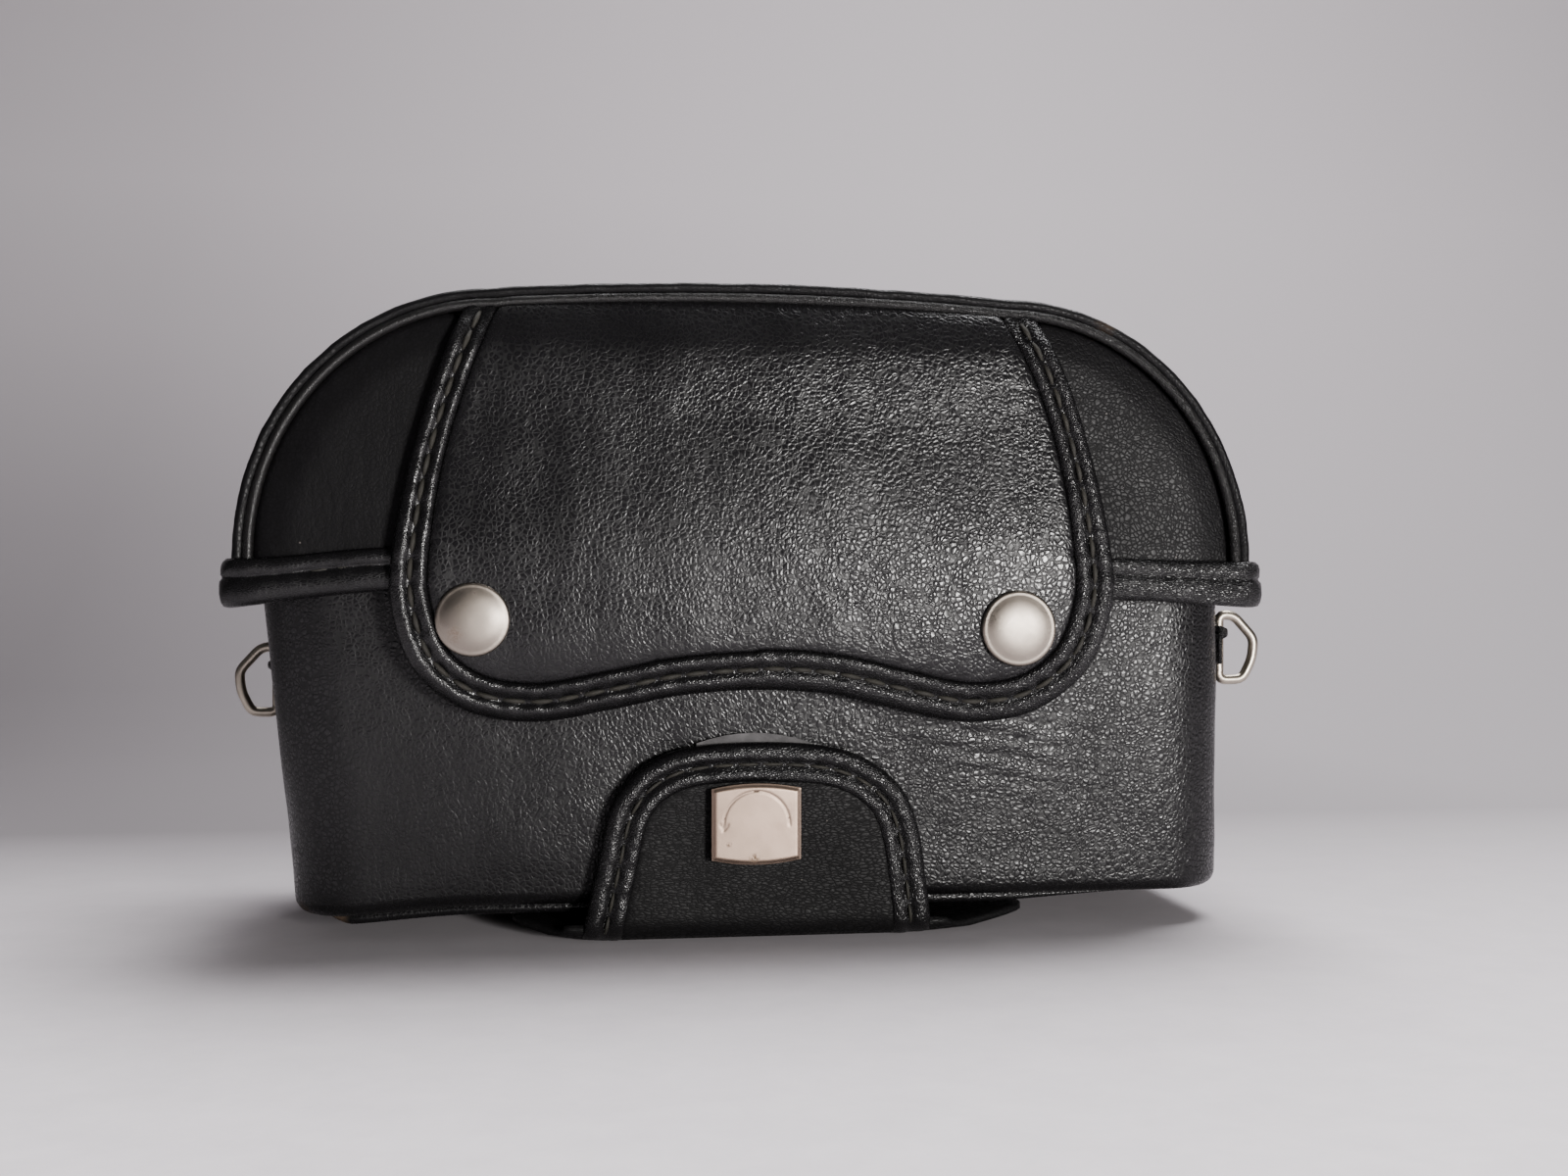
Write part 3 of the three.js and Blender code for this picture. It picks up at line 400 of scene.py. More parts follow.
def leather(name, colour, cell, depth, gloss, stretch=(1, 1, 1), worn=(), dusty=0.5, shine=0.28):
    """Pebbled leather: cell and depth of the grain in millimetres, gloss is its roughness, shine its
    specular level, worn a list of scuffed spots as (centre, radius, colour)."""
    m = Nodes(name)
    at = m.where(stretch)
    bent = at
    for scale, reach in ((38, 5), (420, 0.9)):
        waver = m.add("ShaderNodeTexNoise", Vector=at, Scale=scale, Detail=1.0).outputs["Color"]
        shift = m.add("ShaderNodeVectorMath", {"operation": "MULTIPLY_ADD"})
        m.feed(shift.inputs[0], waver)
        shift.inputs[1].default_value = [reach * MM] * 3
        m.feed(shift.inputs[2], bent)
        bent = shift.outputs[0]

    def cells(size):
        return m.add("ShaderNodeTexVoronoi", {"feature": "DISTANCE_TO_EDGE"}, Vector=bent,
                     Scale=1000 / size).outputs["Distance"]

    near = cells(cell)
    pebble = m.calc("MULTIPLY_ADD", near, 1.2, m.span(near, 0.0, 0.2, 0.0, 0.7))
    furrow = m.span(cells(cell * 2.6), 0.0, 0.1)
    broad = m.noise(m.where(), 60, 3.0, 0.6)
    fine = m.noise(at, 3200, 3.0, 0.6)
    height = m.calc("MULTIPLY_ADD", furrow, 0.6, m.calc("MULTIPLY_ADD", fine, 0.16, pebble))
    across = m.add("ShaderNodeSeparateXYZ", Vector=m.where()).outputs[0]
    strength = m.calc("MULTIPLY", m.span(broad, 0.3, 0.7, 0.6, 1.0), m.span(across, -0.07, 0.035, 0.36, 1.0))
    normal = m.bump(height, depth * MM, strength)
    folds = m.noise(m.where((1.0, 1.0, 0.45)), 210, 4.0, 0.65)
    normal = m.bump(folds, 0.3 * MM, 0.5, normal)
    # Painted shade in the grain: the furrows between the pebbles are coloured down to a third of the colour,
    # mixed with a broad random mottle.
    furrow_shade_and_mottle = m.calc("MULTIPLY", pebble, m.span(broad, 0.25, 0.75, 0.5, 1.0))
    tone = m.blend(furrow_shade_and_mottle, shade(colour, 0.35), colour)
    patches = m.noise(m.where(), 28, 5.0, 0.65)
    dull = m.calc("ADD", m.span(patches, 0.3, 0.7, gloss - 0.06, gloss + 0.08),
                  m.span(pebble, 0.0, 1.0, 0.25, 0.0))
    if dusty:
        specks = m.add("ShaderNodeTexVoronoi", Vector=m.where(), Scale=240)
        small = m.span(specks.outputs["Distance"], 0.045, 0.02)
        few = m.span(m.add("ShaderNodeSeparateColor", Color=specks.outputs["Color"]).outputs[0],
                     0.86, 0.9, 0.0, dusty)
        tone = m.blend(m.calc("MULTIPLY", small, few), tone, (0.22, 0.2, 0.18))
    for centre, radius, bare in worn:
        mask = m.spot(centre, radius)
        tone = m.blend(mask, tone, bare)
        dull = m.calc("MULTIPLY_ADD", mask, 0.3, dull)
    m.set(Base_Color=tone, Roughness=dull, Normal=normal, Specular_IOR_Level=shine)
    return m.material


def metal(name, colour, gloss, scratch, dirt, marks=()):
    """Plated or bare metal with fine scratches, dull patches and optional rust spots."""
    m = Nodes(name)
    at = m.where()
    hair = m.noise(m.where((1, 1, 26)), 2600, 2.0, 0.7)
    cloud = m.noise(at, 160, 5.0, 0.65)
    grain = m.noise(at, 9000, 1.0)
    tone = m.blend(m.span(cloud, 0.35, 0.75, 0.0, dirt), colour, shade(colour, 0.62))
    dull = m.calc("ADD", m.span(cloud, 0.3, 0.7, gloss - 0.05, gloss + 0.1),
                  m.span(hair, 0.3, 0.7, 0.0, 0.12 * scratch))
    normal = m.bump(m.calc("MULTIPLY_ADD", grain, 0.5, hair), 0.012 * MM, scratch)
    rusty = None
    for centre, radius, rust in marks:
        pitted = m.span(m.noise(at, 2600, 2.0), 0.42, 0.56)
        mask = m.calc("MULTIPLY", m.spot(centre, radius, 0.3), pitted)
        tone = m.blend(mask, tone, rust)
        dull = m.calc("MULTIPLY_ADD", mask, 0.45, dull)
        rusty = mask if rusty is None else m.calc("MAXIMUM", rusty, mask)
    m.set(Metallic=1.0 if rusty is None else m.span(rusty, 0.0, 1.0, 1.0, 0.25))
    m.set(Base_Color=tone, Roughness=dull, Normal=normal)
    return m.material


def plain(name, colour, gloss, grain, size, sheen=0.0):
    """Paint, thread or suede: a mottled colour with an even grain, its depth and size in millimetres."""
    m = Nodes(name)
    at = m.where()
    cloud = m.noise(at, 240, 4.0, 0.6)
    tone = m.blend(m.span(cloud, 0.3, 0.7), shade(colour, 0.7), shade(colour, 1.25))
    m.set(Base_Color=tone, Roughness=m.span(cloud, 0.3, 0.7, gloss - 0.06, gloss + 0.06))
    m.set(Normal=m.bump(m.noise(at, 1000 / size, 3.0, 0.6), grain * MM), Sheen_Weight=sheen)
    return m.material


def glass(name, colour):
    """Coated glass with a faint haze."""
    m = Nodes(name)
    haze = m.noise(m.where(), 120, 4.0)
    m.set(Base_Color=m.blend(haze, colour, shade(colour, 1.5)),
          Roughness=m.span(haze, 0.3, 0.8, 0.03, 0.09), Coat_Weight=1.0, Coat_Roughness=0.03, IOR=1.6)
    return m.material


BLACK = (0.007, 0.0066, 0.0073)
BROWN = (0.06, 0.04, 0.026)
RUST = (0.12, 0.05, 0.02)
PIT = (0.05, 0.03, 0.02)
CASE_LEATHER = leather("case_leather", BLACK, 0.85, 0.052, 0.19,
                       worn=[((-76, -24, 4.8), 3, BROWN), ((-70, -26, 4), 2.4, BROWN)], shine=0.26)
FLAP_LEATHER = leather("flap_leather", (0.0085, 0.008, 0.009), 0.88, 0.05, 0.19)
COVER_LEATHER = leather("cover_leather", BLACK, 0.8, 0.035, 0.36,
                        worn=[((62.5, -32, 106.5), 3.2, BROWN), ((66.5, -31, 104), 2.4, BROWN)], shine=0.12)
BINDING_LEATHER = leather("binding_leather", BLACK, 0.5, 0.06, 0.16, shine=0.34)
BAND_LEATHER = leather("band_leather", BLACK, 0.5, 0.06, 0.18, (0.6, 1, 1.5), shine=0.3)
TAB_LEATHER = leather("tab_leather", (0.008, 0.0076, 0.008), 0.7, 0.05, 0.42, (0.6, 1, 1.4), shine=0.12)
CORD_LEATHER = leather("piping_leather", (0.01, 0.0095, 0.0095), 0.4, 0.06, 0.28)
SUEDE = plain("suede_lining", (0.085, 0.052, 0.03), 0.92, 0.06, 0.35, 0.25)
THREAD = plain("olive_thread", (0.015, 0.0135, 0.0095), 0.75, 0.08, 0.2)
NICKEL = metal("aged_nickel", (0.4, 0.355, 0.295), 0.28, 0.6, 0.5)
STRIKE = metal("worn_strike", (0.065, 0.063, 0.064), 0.46, 0.9, 0.7)
SNAP_NICKEL = metal("snap_nickel", (0.25, 0.218, 0.186), 0.28, 0.7, 0.25,
                    [((-49.9, -41, 52.6), 1.7, RUST), ((-46.9, -41.6, 59.6), 0.5, PIT),
                     ((-49.6, -41.4, 57.2), 0.4, PIT)])
LOCK_NICKEL = metal("lock_nickel", (0.32, 0.236, 0.185), 0.4, 0.35, 0.12,
                    [((-0.4, -38.2, 14.6), 1.1, (0.16, 0.1, 0.05)),
                     ((-4.7, -38.2, 17), 0.6, (0.1, 0.06, 0.03))])
STEEL = metal("plain_steel", (0.5, 0.5, 0.49), 0.34, 0.8, 0.5)
CHROME = metal("satin_chrome", (0.68, 0.69, 0.7), 0.24, 0.5, 0.15)
BRASS = metal("turned_brass", (0.55, 0.4, 0.16), 0.3, 0.7, 0.4)
PAINT = plain("black_enamel", (0.012, 0.012, 0.013), 0.3, 0.02, 0.2)
COVERING = leather("body_covering", (0.014, 0.014, 0.014), 0.9, 0.14, 0.5, dusty=0)
GLASS = glass("coated_glass", (0.02, 0.024, 0.04))


# ---- lower case ----

def rounded_rectangle(reach, radius, steps=10):
    """Points (x, y), counter-clockwise from above. reach is how far out each side stands."""
    corners = [("right", "back"), ("left", "back"), ("left", "front"), ("right", "front")]
    away = {"right": 1, "left": -1, "back": 1, "front": -1}
    ring = []
    for quarter, sides in enumerate(corners):
        x, y = [away[side] * (reach[side] - radius) for side in sides]
        for a in [(quarter + step / steps) * math.pi / 2 for step in range(steps + 1)]:
            ring.append((x + radius * math.cos(a), y + radius * math.sin(a)))
    return ring


def case_ring(z, inset, count):
    """Points round the tub at a height, drawn in by inset."""
    t = (z - CASE_LOW) / (CASE_HIGH - CASE_LOW)
    reach = {side: mix(CASE_FOOT[side], CASE_RIM[side], t) - inset for side in CASE_FOOT}
    return even(rounded_rectangle(reach, CASE_CORNER - inset), SKIN_STEP, closed=True, count=count)


def case_relief(x, y, z):
    """How far the old leather stands out of its plain shape."""
    swell = 0.35 * rough(x, y, z, 30) + 0.12 * rough(x, y + 40, z, 9)
    if y >= 0:
        return swell
    folds = math.exp(-(((x - 42) / 16) ** 2) - (((z - 33 + (x - 42) * 0.12) / 6) ** 2))
    ripple = 0.55 * folds * math.sin(z * 1.9 + x * 0.35 + 2.2 * rough(x, z, 5, 11))
    run = math.exp(-(((x + 32 - (z - 16) * 0.9) / 4) ** 2) - (((z - 20) / 10) ** 2))
    return swell + ripple + 0.3 * run * math.sin((x + z) * 1.7)


def case_drop(x, z):
    """How far the tub's left end has sunk, and how the lip of its sole runs out at both ends."""
    drop = -1.6 * ease((-x - 46) / 32) * (1 - ease((z - CASE_LOW) / 50))
    if z < CASE_LOW:
        drop += (CASE_LOW - z) * (ease((x - 40) / 35) + ease((-x - 68) / 5))
    return drop


def case_shell():
    """The tub, from the lip of the sole under it, up the wall, over the rim and down inside."""
    bend = 2.6
    outer = [(6, 9), (4.5, 8.6), (4.3, 8), (4.3, 4.0), (4.5, 3.4), (5.7, 3.2), (5.95, 3.6), (6, 2.5)]
    for a in [step * math.pi / 24 for step in range(1, 13)]:
        outer.append((CASE_LOW + bend * (1 - math.cos(a)), bend * (1 - math.sin(a))))
    outer += [(z, 0.0) for z in (10.8, *np.linspace(12.2, 62.8, 40))] + [(63.5, 0.1), (63.9, 0.45)]
    inner = [(64.0, 1.1), (63.9, 1.8), (63.4, 2.3)]
    inner += [(z, 2.4) for z in (55, 40, 25, 14)] + [(9.4, 2.9), (8.4, 5)]
    count, verts = None, []
    for index, (z, inset) in enumerate(outer + inner):
        line = case_ring(z, inset, count)
        count = len(line)
        relief = ease((z - 9) / 6) * ease((CASE_HIGH - z) / 8) if index < len(outer) else 0
        for p, n in zip(line, sides_of(line, closed=True)):
            lift = relief * case_relief(p.x, p.y, z) if relief else 0
            verts.append((p.x + n.x * lift, p.y + n.y * lift, z + case_drop(p.x, z)))
    faces = tube_faces(len(outer + inner), count, False)
    obj = piece("case_leather_shell", verts, faces, CASE_LEATHER, "lower_case")
    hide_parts("lower_case_shell")


def case_lining():
    """Suede tub inside the case, open at the top."""
    hidden, nap, count = 2.7, 3.4, 150
    levels = [(9.6, 5.2), (10.2, nap), (12, 2.75)]
    levels += [(z, hidden) for z in np.linspace(16, 60, 12)] + [(61.8, 2.9), (61.8, 3.3)]
    levels += [(z, nap) for z in np.linspace(60, 16, 12)] + [(12, 3.6), (10.6, 5.4)]
    verts = []
    for z, inset in levels:
        line = case_ring(z, inset, count)
        for p, n in zip(line, sides_of(line, closed=True)):
            lift = 0.12 * rough(p.x, p.y, z, 8) if inset >= nap else 0
            verts.append((p.x + n.x * lift, p.y + n.y * lift, z))
    obj = piece("case_suede", verts, tube_faces(len(levels), count, False), SUEDE, "lower_case")
    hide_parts("lower_case_lining")


def rear_foot():
    """A slim leather bar under the back of the sole, with rounded edges and slightly uneven faces."""
    low, high = (-45, 25.6, 0), (45, 29.4, 5.9)
    bm = bmesh.new()
    bmesh.ops.create_cube(bm, size=1)
    for v in bm.verts:
        v.co = Vector([(h + l) / 2 + c * (h - l) for l, h, c in zip(low, high, v.co)])
    bmesh.ops.bevel(bm, geom=bm.edges[:], offset=0.8, segments=3, affect="EDGES", profile=0.6)
    long_edges = [e for e in bm.edges if e.calc_length() > 20]
    bmesh.ops.subdivide_edges(bm, edges=long_edges, cuts=50, use_grid_fill=True)
    for v in bm.verts:
        v.co += Vector((0, rough(v.co.x, 3, v.co.z, 14), rough(v.co.x, 9, v.co.y, 12))) * 0.12
    verts = [v.co.copy() for v in bm.verts]
    bm.verts.index_update()
    faces = [tuple(v.index for v in f.verts) for f in bm.faces]
    bm.free()
    foot = piece("rear_foot", verts, faces, CASE_LEATHER, "lower_case")
    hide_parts("rear_foot_strip")


def build_lower_case():
    case_shell()
    case_lining()
    rear_foot()
    hinge_strip()
    for side, sign in (("left", -1), ("right", 1)):
        strap_ring(side, sign)


def hinge_strip():
    """Leather that carries the cover: sewn to the back of the case, bending over to the rim band."""
    path = smooth_line([(34.5, 38), (34.6, 46), (34.8, 52), (36.2, 57.5), (37.3, 60.5), (37.5, 64.6)], 0.8)
    half, thick = 55, 1.2
    xs = np.linspace(-half, half, 90)
    inside = [(x, p.x + 0.18 * rough(x, p.y, 4, 9), p.y) for p in path for x in xs]
    outside = [(x, y + thick - thick / 2 * abs(x / half) ** 20, z) for x, y, z in inside]
    strip = sheet("back_hinge_leather", inside, outside, len(path), len(xs), BAND_LEATHER)
    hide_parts("back_hinge_strip")
    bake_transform(strip)
    for level, z, y, body in (("low", 40, 35.9, "lower_case"), ("high", 63, 38.8, "top_cover")):
        line = [Vector((x, y, z)) for x in np.linspace(2 - half, half - 2, 120)]
        stitches(f"hinge_stitches_{level}", line, [Vector((0, 1, 0))] * len(line), body)


def strap_ring(side, sign):
    """A wire bent to a five-sided ring, its upright bar standing next to the wall of the case."""
    low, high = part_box(f"ring_{side}")
    wire_radius, bend = 0.92, 1.3
    x = (high.x if sign < 0 else low.x) / MM + sign * 0.85
    y = (low.y + high.y) / 2 / MM
    z = (low.z + high.z) / 2 / MM
    corners = [(0, -6.1), (4.6, -6.0), (6.5, -2.2), (6.9, 1.6), (2.9, 6.0), (0, 6.1)]
    outline = []
    for c, before, after in zip(corners, corners[-1:] + corners, corners[1:] + corners[:1]):
        c, before, after = Vector(c), Vector(before), Vector(after)
        reach = min(bend, (c - before).length / 2.1, (after - c).length / 2.1)
        a, b = c + (before - c).normalized() * reach, c + (after - c).normalized() * reach
        outline += [(1 - t) ** 2 * a + 2 * t * (1 - t) * c + t * t * b for t in (0, 0.25, 0.5, 0.75, 1)]
    loop = even(outline, 0.6, closed=True)
    line = [Vector((x + sign * p.x, y, z + p.y)) for p in loop]
    radii = [wire_radius] * len(line)
    wire = cord_along(f"wire_ring_{side}", line, radii, NICKEL, f"strap_ring_{side}", closed=True)
    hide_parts(f"ring_{side}")
    ring_loop(side, sign, x, y, z)


def ring_loop(side, sign, x, y, z):
    """A narrow leather strap folded round the bar, its two tails flat against the wall."""
    upper = [(-1.65, 5.0), (-1.6, 2.4), (-1.1, 1.35), (0, 1.4), (1.0, 0.9)]
    lower = [(out, -along) for out, along in reversed(upper)]
    centre = smooth_line([*upper, (1.4, 0), *lower], 0.35)
    section = [(-0.33, -1), (0, -1.06), (0.33, -1), (0.36, 0), (0.33, 1), (0, 1.06), (-0.33, 1), (-0.36, 0)]
    verts = []
    tall = table([(-5, 3.4), (-2.6, 2.8), (-1.6, 1.35), (1.6, 1.35), (2.6, 2.8), (5, 3.4)])
    for p, n in zip(centre, sides_of(centre)):
        half = tall(p.y)
        middle = 2.75 if abs(p.y) < 1.7 else mix(2.75, 0.6, ease((abs(p.y) - 1.7) / 1.6))
        for across, up in section:
            q = p + n * across
            verts.append((x + sign * q.x, y + q.y, z + middle + up * half))
    faces = tube_faces(len(centre), len(section), False)
    obj = piece(f"ring_strap_{side}", verts, faces, BAND_LEATHER, "lower_case")
    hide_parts(f"ring_loop_{side}")


# ---- cover ----

def arch(inset):
    """Right foot to left foot, drawn in by inset, in (x, z)."""
    steps = 24
    rise = ARCH_SHOULDER - ARCH_FOOT - inset
    sides = {}
    for side, (reach, flat) in ARCH_SIDES.items():
        sides[side] = [(reach - inset, COVER_HEM)]
        sides[side] += [(flat + (reach - flat - inset) * math.cos(a), ARCH_FOOT + rise * math.sin(a))
                        for a in np.linspace(0, math.pi / 2, steps)]
    top = ARCH_SHOULDER - inset
    flat = ARCH_SIDES["right"][1]
    crown = [(t * flat, top + ARCH_CROWN * (1 - t * t)) for t in np.linspace(0.9, -0.9, 19)]
    return [*sides["right"], *crown, *((-x, z) for x, z in reversed(sides["left"]))]


def cover_depth(z):
    """How far the cover's front and back stand from the middle at a height."""
    return COVER_RIM_DEPTH - COVER_TAPER * (z - COVER_RIM_HEIGHT)


def arch_height(x, inset):
    """Height of the arch above a point, drawn in by inset."""
    reach, flat = ARCH_SIDES["right" if x > 0 else "left"]
    if abs(x) <= flat:
        return ARCH_SHOULDER - inset + ARCH_CROWN * (1 - (x / ARCH_SIDES["right"][1]) ** 2)
    across = min((abs(x) - flat) / (reach - flat - inset), 1)
    return ARCH_FOOT + (ARCH_SHOULDER - ARCH_FOOT - inset) * math.sqrt(1 - across**2)


def cover_gusset():
    """The leather over the top and sides, with the turned welt along each rim."""
    half = [(-1.2, -2.4), (-0.2, -2.0), (0.3, -1.45), (0.62, -0.8), (0.55, -0.3), (0.2, 0.05), (-0.5, 0.2),
            (-1.4, 0.16), (-2.1, -0.1), (-2.5, -0.35), (-3.0, -0.4), (-3.6, -0.25), (-5, -0.1), (-8, -0.05),
            (-13, 0), (-19, 0.05), (-26, 0.08)]
    line = even(arch(0), 1.2)
    verts = []
    for i, (p, n) in enumerate(zip(line, sides_of(line))):
        d = cover_depth(p.y)
        skin = [(-(d + a), b) for a, b in half] + [(0.0, 0.1)] + [(d + a, b) for a, b in reversed(half)]
        section = []
        for y, out in skin:
            edge = ease((abs(y) - d + 2) / 1.5)
            out += 0.1 * rough(p.x, y, p.y, 16) + edge * 0.13 * rough(i * 1.3, y * 2, 2, 3.1)
            wrinkle = 0.22 * rough(p.x, y, p.y + out, 3.6) + 0.1 * rough(p.x, 8, p.y, 9)
            section.append((y + math.copysign(edge * wrinkle, y), out))
        section += [(d - 2.6, -2.4), (12, -2.3), (-12, -2.3), (-(d - 2.6), -2.4)]
        verts += [(p.x + n.x * out, y, p.y + n.y * out) for y, out in section]
    faces = tube_faces(len(line), len(section), False)
    obj = piece("cover_top_leather", verts, faces, COVER_LEATHER, "top_cover")
    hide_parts("cover_gusset")


def cover_pipings():
    """A thin cord between the top leather and each panel, with a faint ribbing."""
    for name, sign, node in (("front", -1, "cover_front_piping"), ("back", 1, "cover_back_piping")):
        line = [Vector((p.x, sign * (cover_depth(p.y) + 0.3 + 0.12 * rough(p.x, p.y, 2, 12)), p.y))
                for p in even(arch(2.5), 0.5)]
        radii = [0.9 + 0.035 * (i % 2) for i in range(len(line))]
        cord = cord_along(f"cover_cord_{name}", line, radii, CORD_LEATHER, "top_cover")
        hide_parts(node)


def cover_panels():
    """The front and back of the cover, puffed a little inside their pipings."""
    thick, seam_top, flap_root = 1.8, 105.2, 50.5
    for name, sign, node in (("front", -1, "cover_front_panel"), ("back", 1, "cover_back_panel")):
        def face(x, z, sign=sign):
            reach, flat = ARCH_SIDES["right" if x > 0 else "left"]
            across = max(abs(x) - flat, 0) / (reach - flat - 3)
            up = max(z - ARCH_FOOT, 0) / (ARCH_SHOULDER - ARCH_FOOT - 3)
            puff = 0.9 * ease((1 - math.hypot(across, up)) / 0.16) - 0.75
            return sign * (cover_depth(z) + puff + 0.25 * rough(x, z, sign, 18))

        outline = arch(3.0)
        if name == "front":  # its top is cut low where the root of the flap is sewn in
            outline = [(x, mix(z, min(z, seam_top), ease((flap_root - abs(x)) / 2.5))) for x, z in outline]
        obj = leather_panel(f"cover_panel_{name}", outline, face, -sign * thick, COVER_LEATHER,
                            "top_cover", 1.7)
        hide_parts(node)


def cover_lining():
    """Suede inside the cover: over the arch and against both panels."""
    line, thick, columns = even(arch(3.1), 3), 0.7, 9
    verts = []
    for p, n in zip(line, sides_of(line)):
        d = cover_depth(p.y) - 3.2
        for t in np.linspace(-1, 1, columns):
            out = 0.1 * rough(p.x, d * t, p.y, 9)
            verts.append((p.x + n.x * out, d * t, p.y + n.y * out))
        verts += [(p.x - n.x * thick, d * t, p.y - n.y * thick) for t in np.linspace(1, -1, columns)]
    faces = tube_faces(len(line), 2 * columns, False)
    over = piece("cover_suede_top", verts, faces, SUEDE, "top_cover")
    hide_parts("cover_lining")
    for name, sign in (("front", -1), ("back", 1)):
        def face(x, z, sign=sign):
            return sign * (cover_depth(z) - 3.1 + 0.1 * rough(x, z, 4, 14))

        leather_panel(f"cover_suede_{name}", arch(3.9), face, -sign * thick, SUEDE, "top_cover", 3.5, 0.4)


def band_drop(x, y):
    """The rim band's lift and droop along the front and back."""
    left = mix(1.3, -0.9, ease((-x - 60) / 28)) if x < 0 else 0
    right = mix(-0.2, -1.1, ease((x - 62) / 26)) if x > 0 else 0
    front = ease((-y - 5) / 25)
    return (left * ease(-x / 40) + right * ease(x / 40)) * front


def cover_band():
    """The stiff band round the cover's rim: two lobes with a stitched groove between, puffed corners."""
    outer = {"left": 87.7, "right": 90.3, "front": 37.4, "back": 36.1}
    line = even(rounded_rectangle(outer, 4.5, 8), BAND_STEP, closed=True)
    section = [(-2.4, 58.8), (-0.9, 58.4), (0.0, 58.6), (0.45, 59.3), (0.66, 60.4), (0.6, 61.5),
               (0.35, 62.3), (-0.05, 62.7), (-0.1, 62.95), (0.1, 63.25), (0.26, 63.8), (0.26, 64.5),
               (0.0, 65.2), (-0.6, 65.7), (-2.4, 65.8)]
    verts = []
    for i, (p, n) in enumerate(zip(line, sides_of(line, closed=True))):
        swell = math.exp(-((abs(p.x) - 88) / 7) ** 2) * math.exp(-((abs(p.y) - 34) / 9) ** 2)
        for out, z in section:
            wrinkle = 0.13 * rough(p.x, p.y, z, 2.4) + 0.16 * rough(p.x, p.y, z, 7)
            groove = 0.16 * math.sin(i * BAND_STEP * 2 * math.pi / STITCH_PITCH) if 62.2 < z < 63.4 else 0
            push = out + (0.5 * swell if out > -2 else 0) + (wrinkle + groove if out > -1 else 0)
            verts.append((p.x + n.x * push, p.y + n.y * push,
                          z + band_drop(p.x, p.y) + swell * (z - 62.6) * 0.12))
    faces = tube_faces(len(line), len(section), True)
    obj = piece("cover_rim_band", verts, faces, BAND_LEATHER, "top_cover")
    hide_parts("cover_band")
    normals = sides_of(line, closed=True)
    run = [Vector((p.x - n.x * 0.4, p.y - n.y * 0.4, 62.8 + band_drop(p.x, p.y)))
           for p, n in zip(line, normals)]
    outs = [Vector((n.x, n.y, 0)) for n in normals]
    stitches("band_stitches", run + run[:1], outs + outs[:1], "top_cover")


# ---- front flap ----

flap_back = table(FLAP_BACK)
FORWARD = Vector((0, -1, 0))
# Two rounded ridges with a sunken seam between, as (distance inwards, height).
BINDING_SECTION = [
    (0.3, 0.0), (0.0, 0.6), (0.02, 1.4), (0.3, 2.1), (0.8, 2.55), (1.4, 2.8), (2.0, 2.82), (2.5, 2.62),
    (2.85, 2.3), (3.15, 2.08), (3.55, 2.04), (3.9, 2.15), (4.25, 2.45), (4.8, 2.72), (5.4, 2.78),
    (5.95, 2.6), (6.35, 2.2), (6.55, 1.6), (6.5, 0.3), (3.2, 0.0),
]


def border(name, edge, section, depth, pitch, scale=None):
    """Binding along an open edge in X and Z, pinched at each stitch. depth(z) is how far forward it
    stands and scale(x, z) how its width and height change on the way."""
    verts, step = [], (edge[1] - edge[0]).length
    for i, ((x, z), n) in enumerate(zip(edge, sides_of(edge))):
        wide, high = scale(x, z) if scale else (1.0, 1.0)
        beat = math.cos(2 * math.pi * i * step / pitch)
        for d, h in section:
            px, pz = x + n.x * d * wide, max(z + n.y * d * wide, 0.3)
            lift = 0.0
            if h > 1:
                lift = 0.2 * rough(px, 5, pz, 1.9) + 0.16 * rough(px, 9, pz, 6)
                lift -= beat * (0.12 if 2.4 < d < 4.4 else 0.03)
            verts.append((px, -(depth(pz) + (h + lift) * high), pz))
    return piece(name, verts, tube_faces(len(edge), len(section), False), BINDING_LEATHER)


def build_front_flap():
    """The flap that hangs from the top seam over both halves of the case, with its two snaps."""
    edge = smooth_line(FLAP_EDGE, 0.7)
    inward = sides_of(edge)
    pitch = 4.4

    def scale(x, z):
        wide = mix(1.06, 0.88, ease((z - 62) / 30)) if x > 0 else mix(1.0, 0.8, ease((z - 50) / 40))
        return wide, mix(1, 0.42, ease((z - 101) / 7))

    def inset(distance):
        return [p + n * (distance * scale(p.x, p.y)[0]) for p, n in zip(edge, inward)]

    binding = border("flap_binding", edge, BINDING_SECTION, flap_back, pitch, scale)
    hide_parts("front_flap_binding")
    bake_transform(binding)

    def face(x, z):
        puff = 0.45 * (1 - (x / 60) ** 2) + 0.35 * rough(x, 4, z, 26) + 0.12 * rough(x, 9, z * 0.4, 6)
        dimple = sum(math.exp(-(((x - a) ** 2 + (z - b) ** 2) / 60)) for a, b in SNAPS.values())
        full = ease((109 - z) / 9)
        return -(flap_back(z) + mix(1.45, 1.95, full) + puff * full * (1 - 0.7 * min(dimple, 1)))

    inner = inset(6.4)
    top = [Vector((x, arch_height(x, 3.05))) for x in np.linspace(inner[-1].x + 1, inner[0].x - 1, 30)]
    panel = leather_panel("flap_panel", inner + top, face, 1.6, FLAP_LEATHER, None, 1.4, 0.6, SUEDE)
    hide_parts("front_flap_panel")
    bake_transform(panel)

    line = [Vector((p.x, -(flap_back(p.y) + 2.16 * scale(p.x, p.y)[1]), p.y)) for p in inset(3.5)]
    thread = stitches("flap_stitches", line, [FORWARD] * len(line), None, pitch, 3.7, 0.46)
    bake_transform(thread)
    for side, (x, z) in SNAPS.items():
        snap_cap(side, x, z)


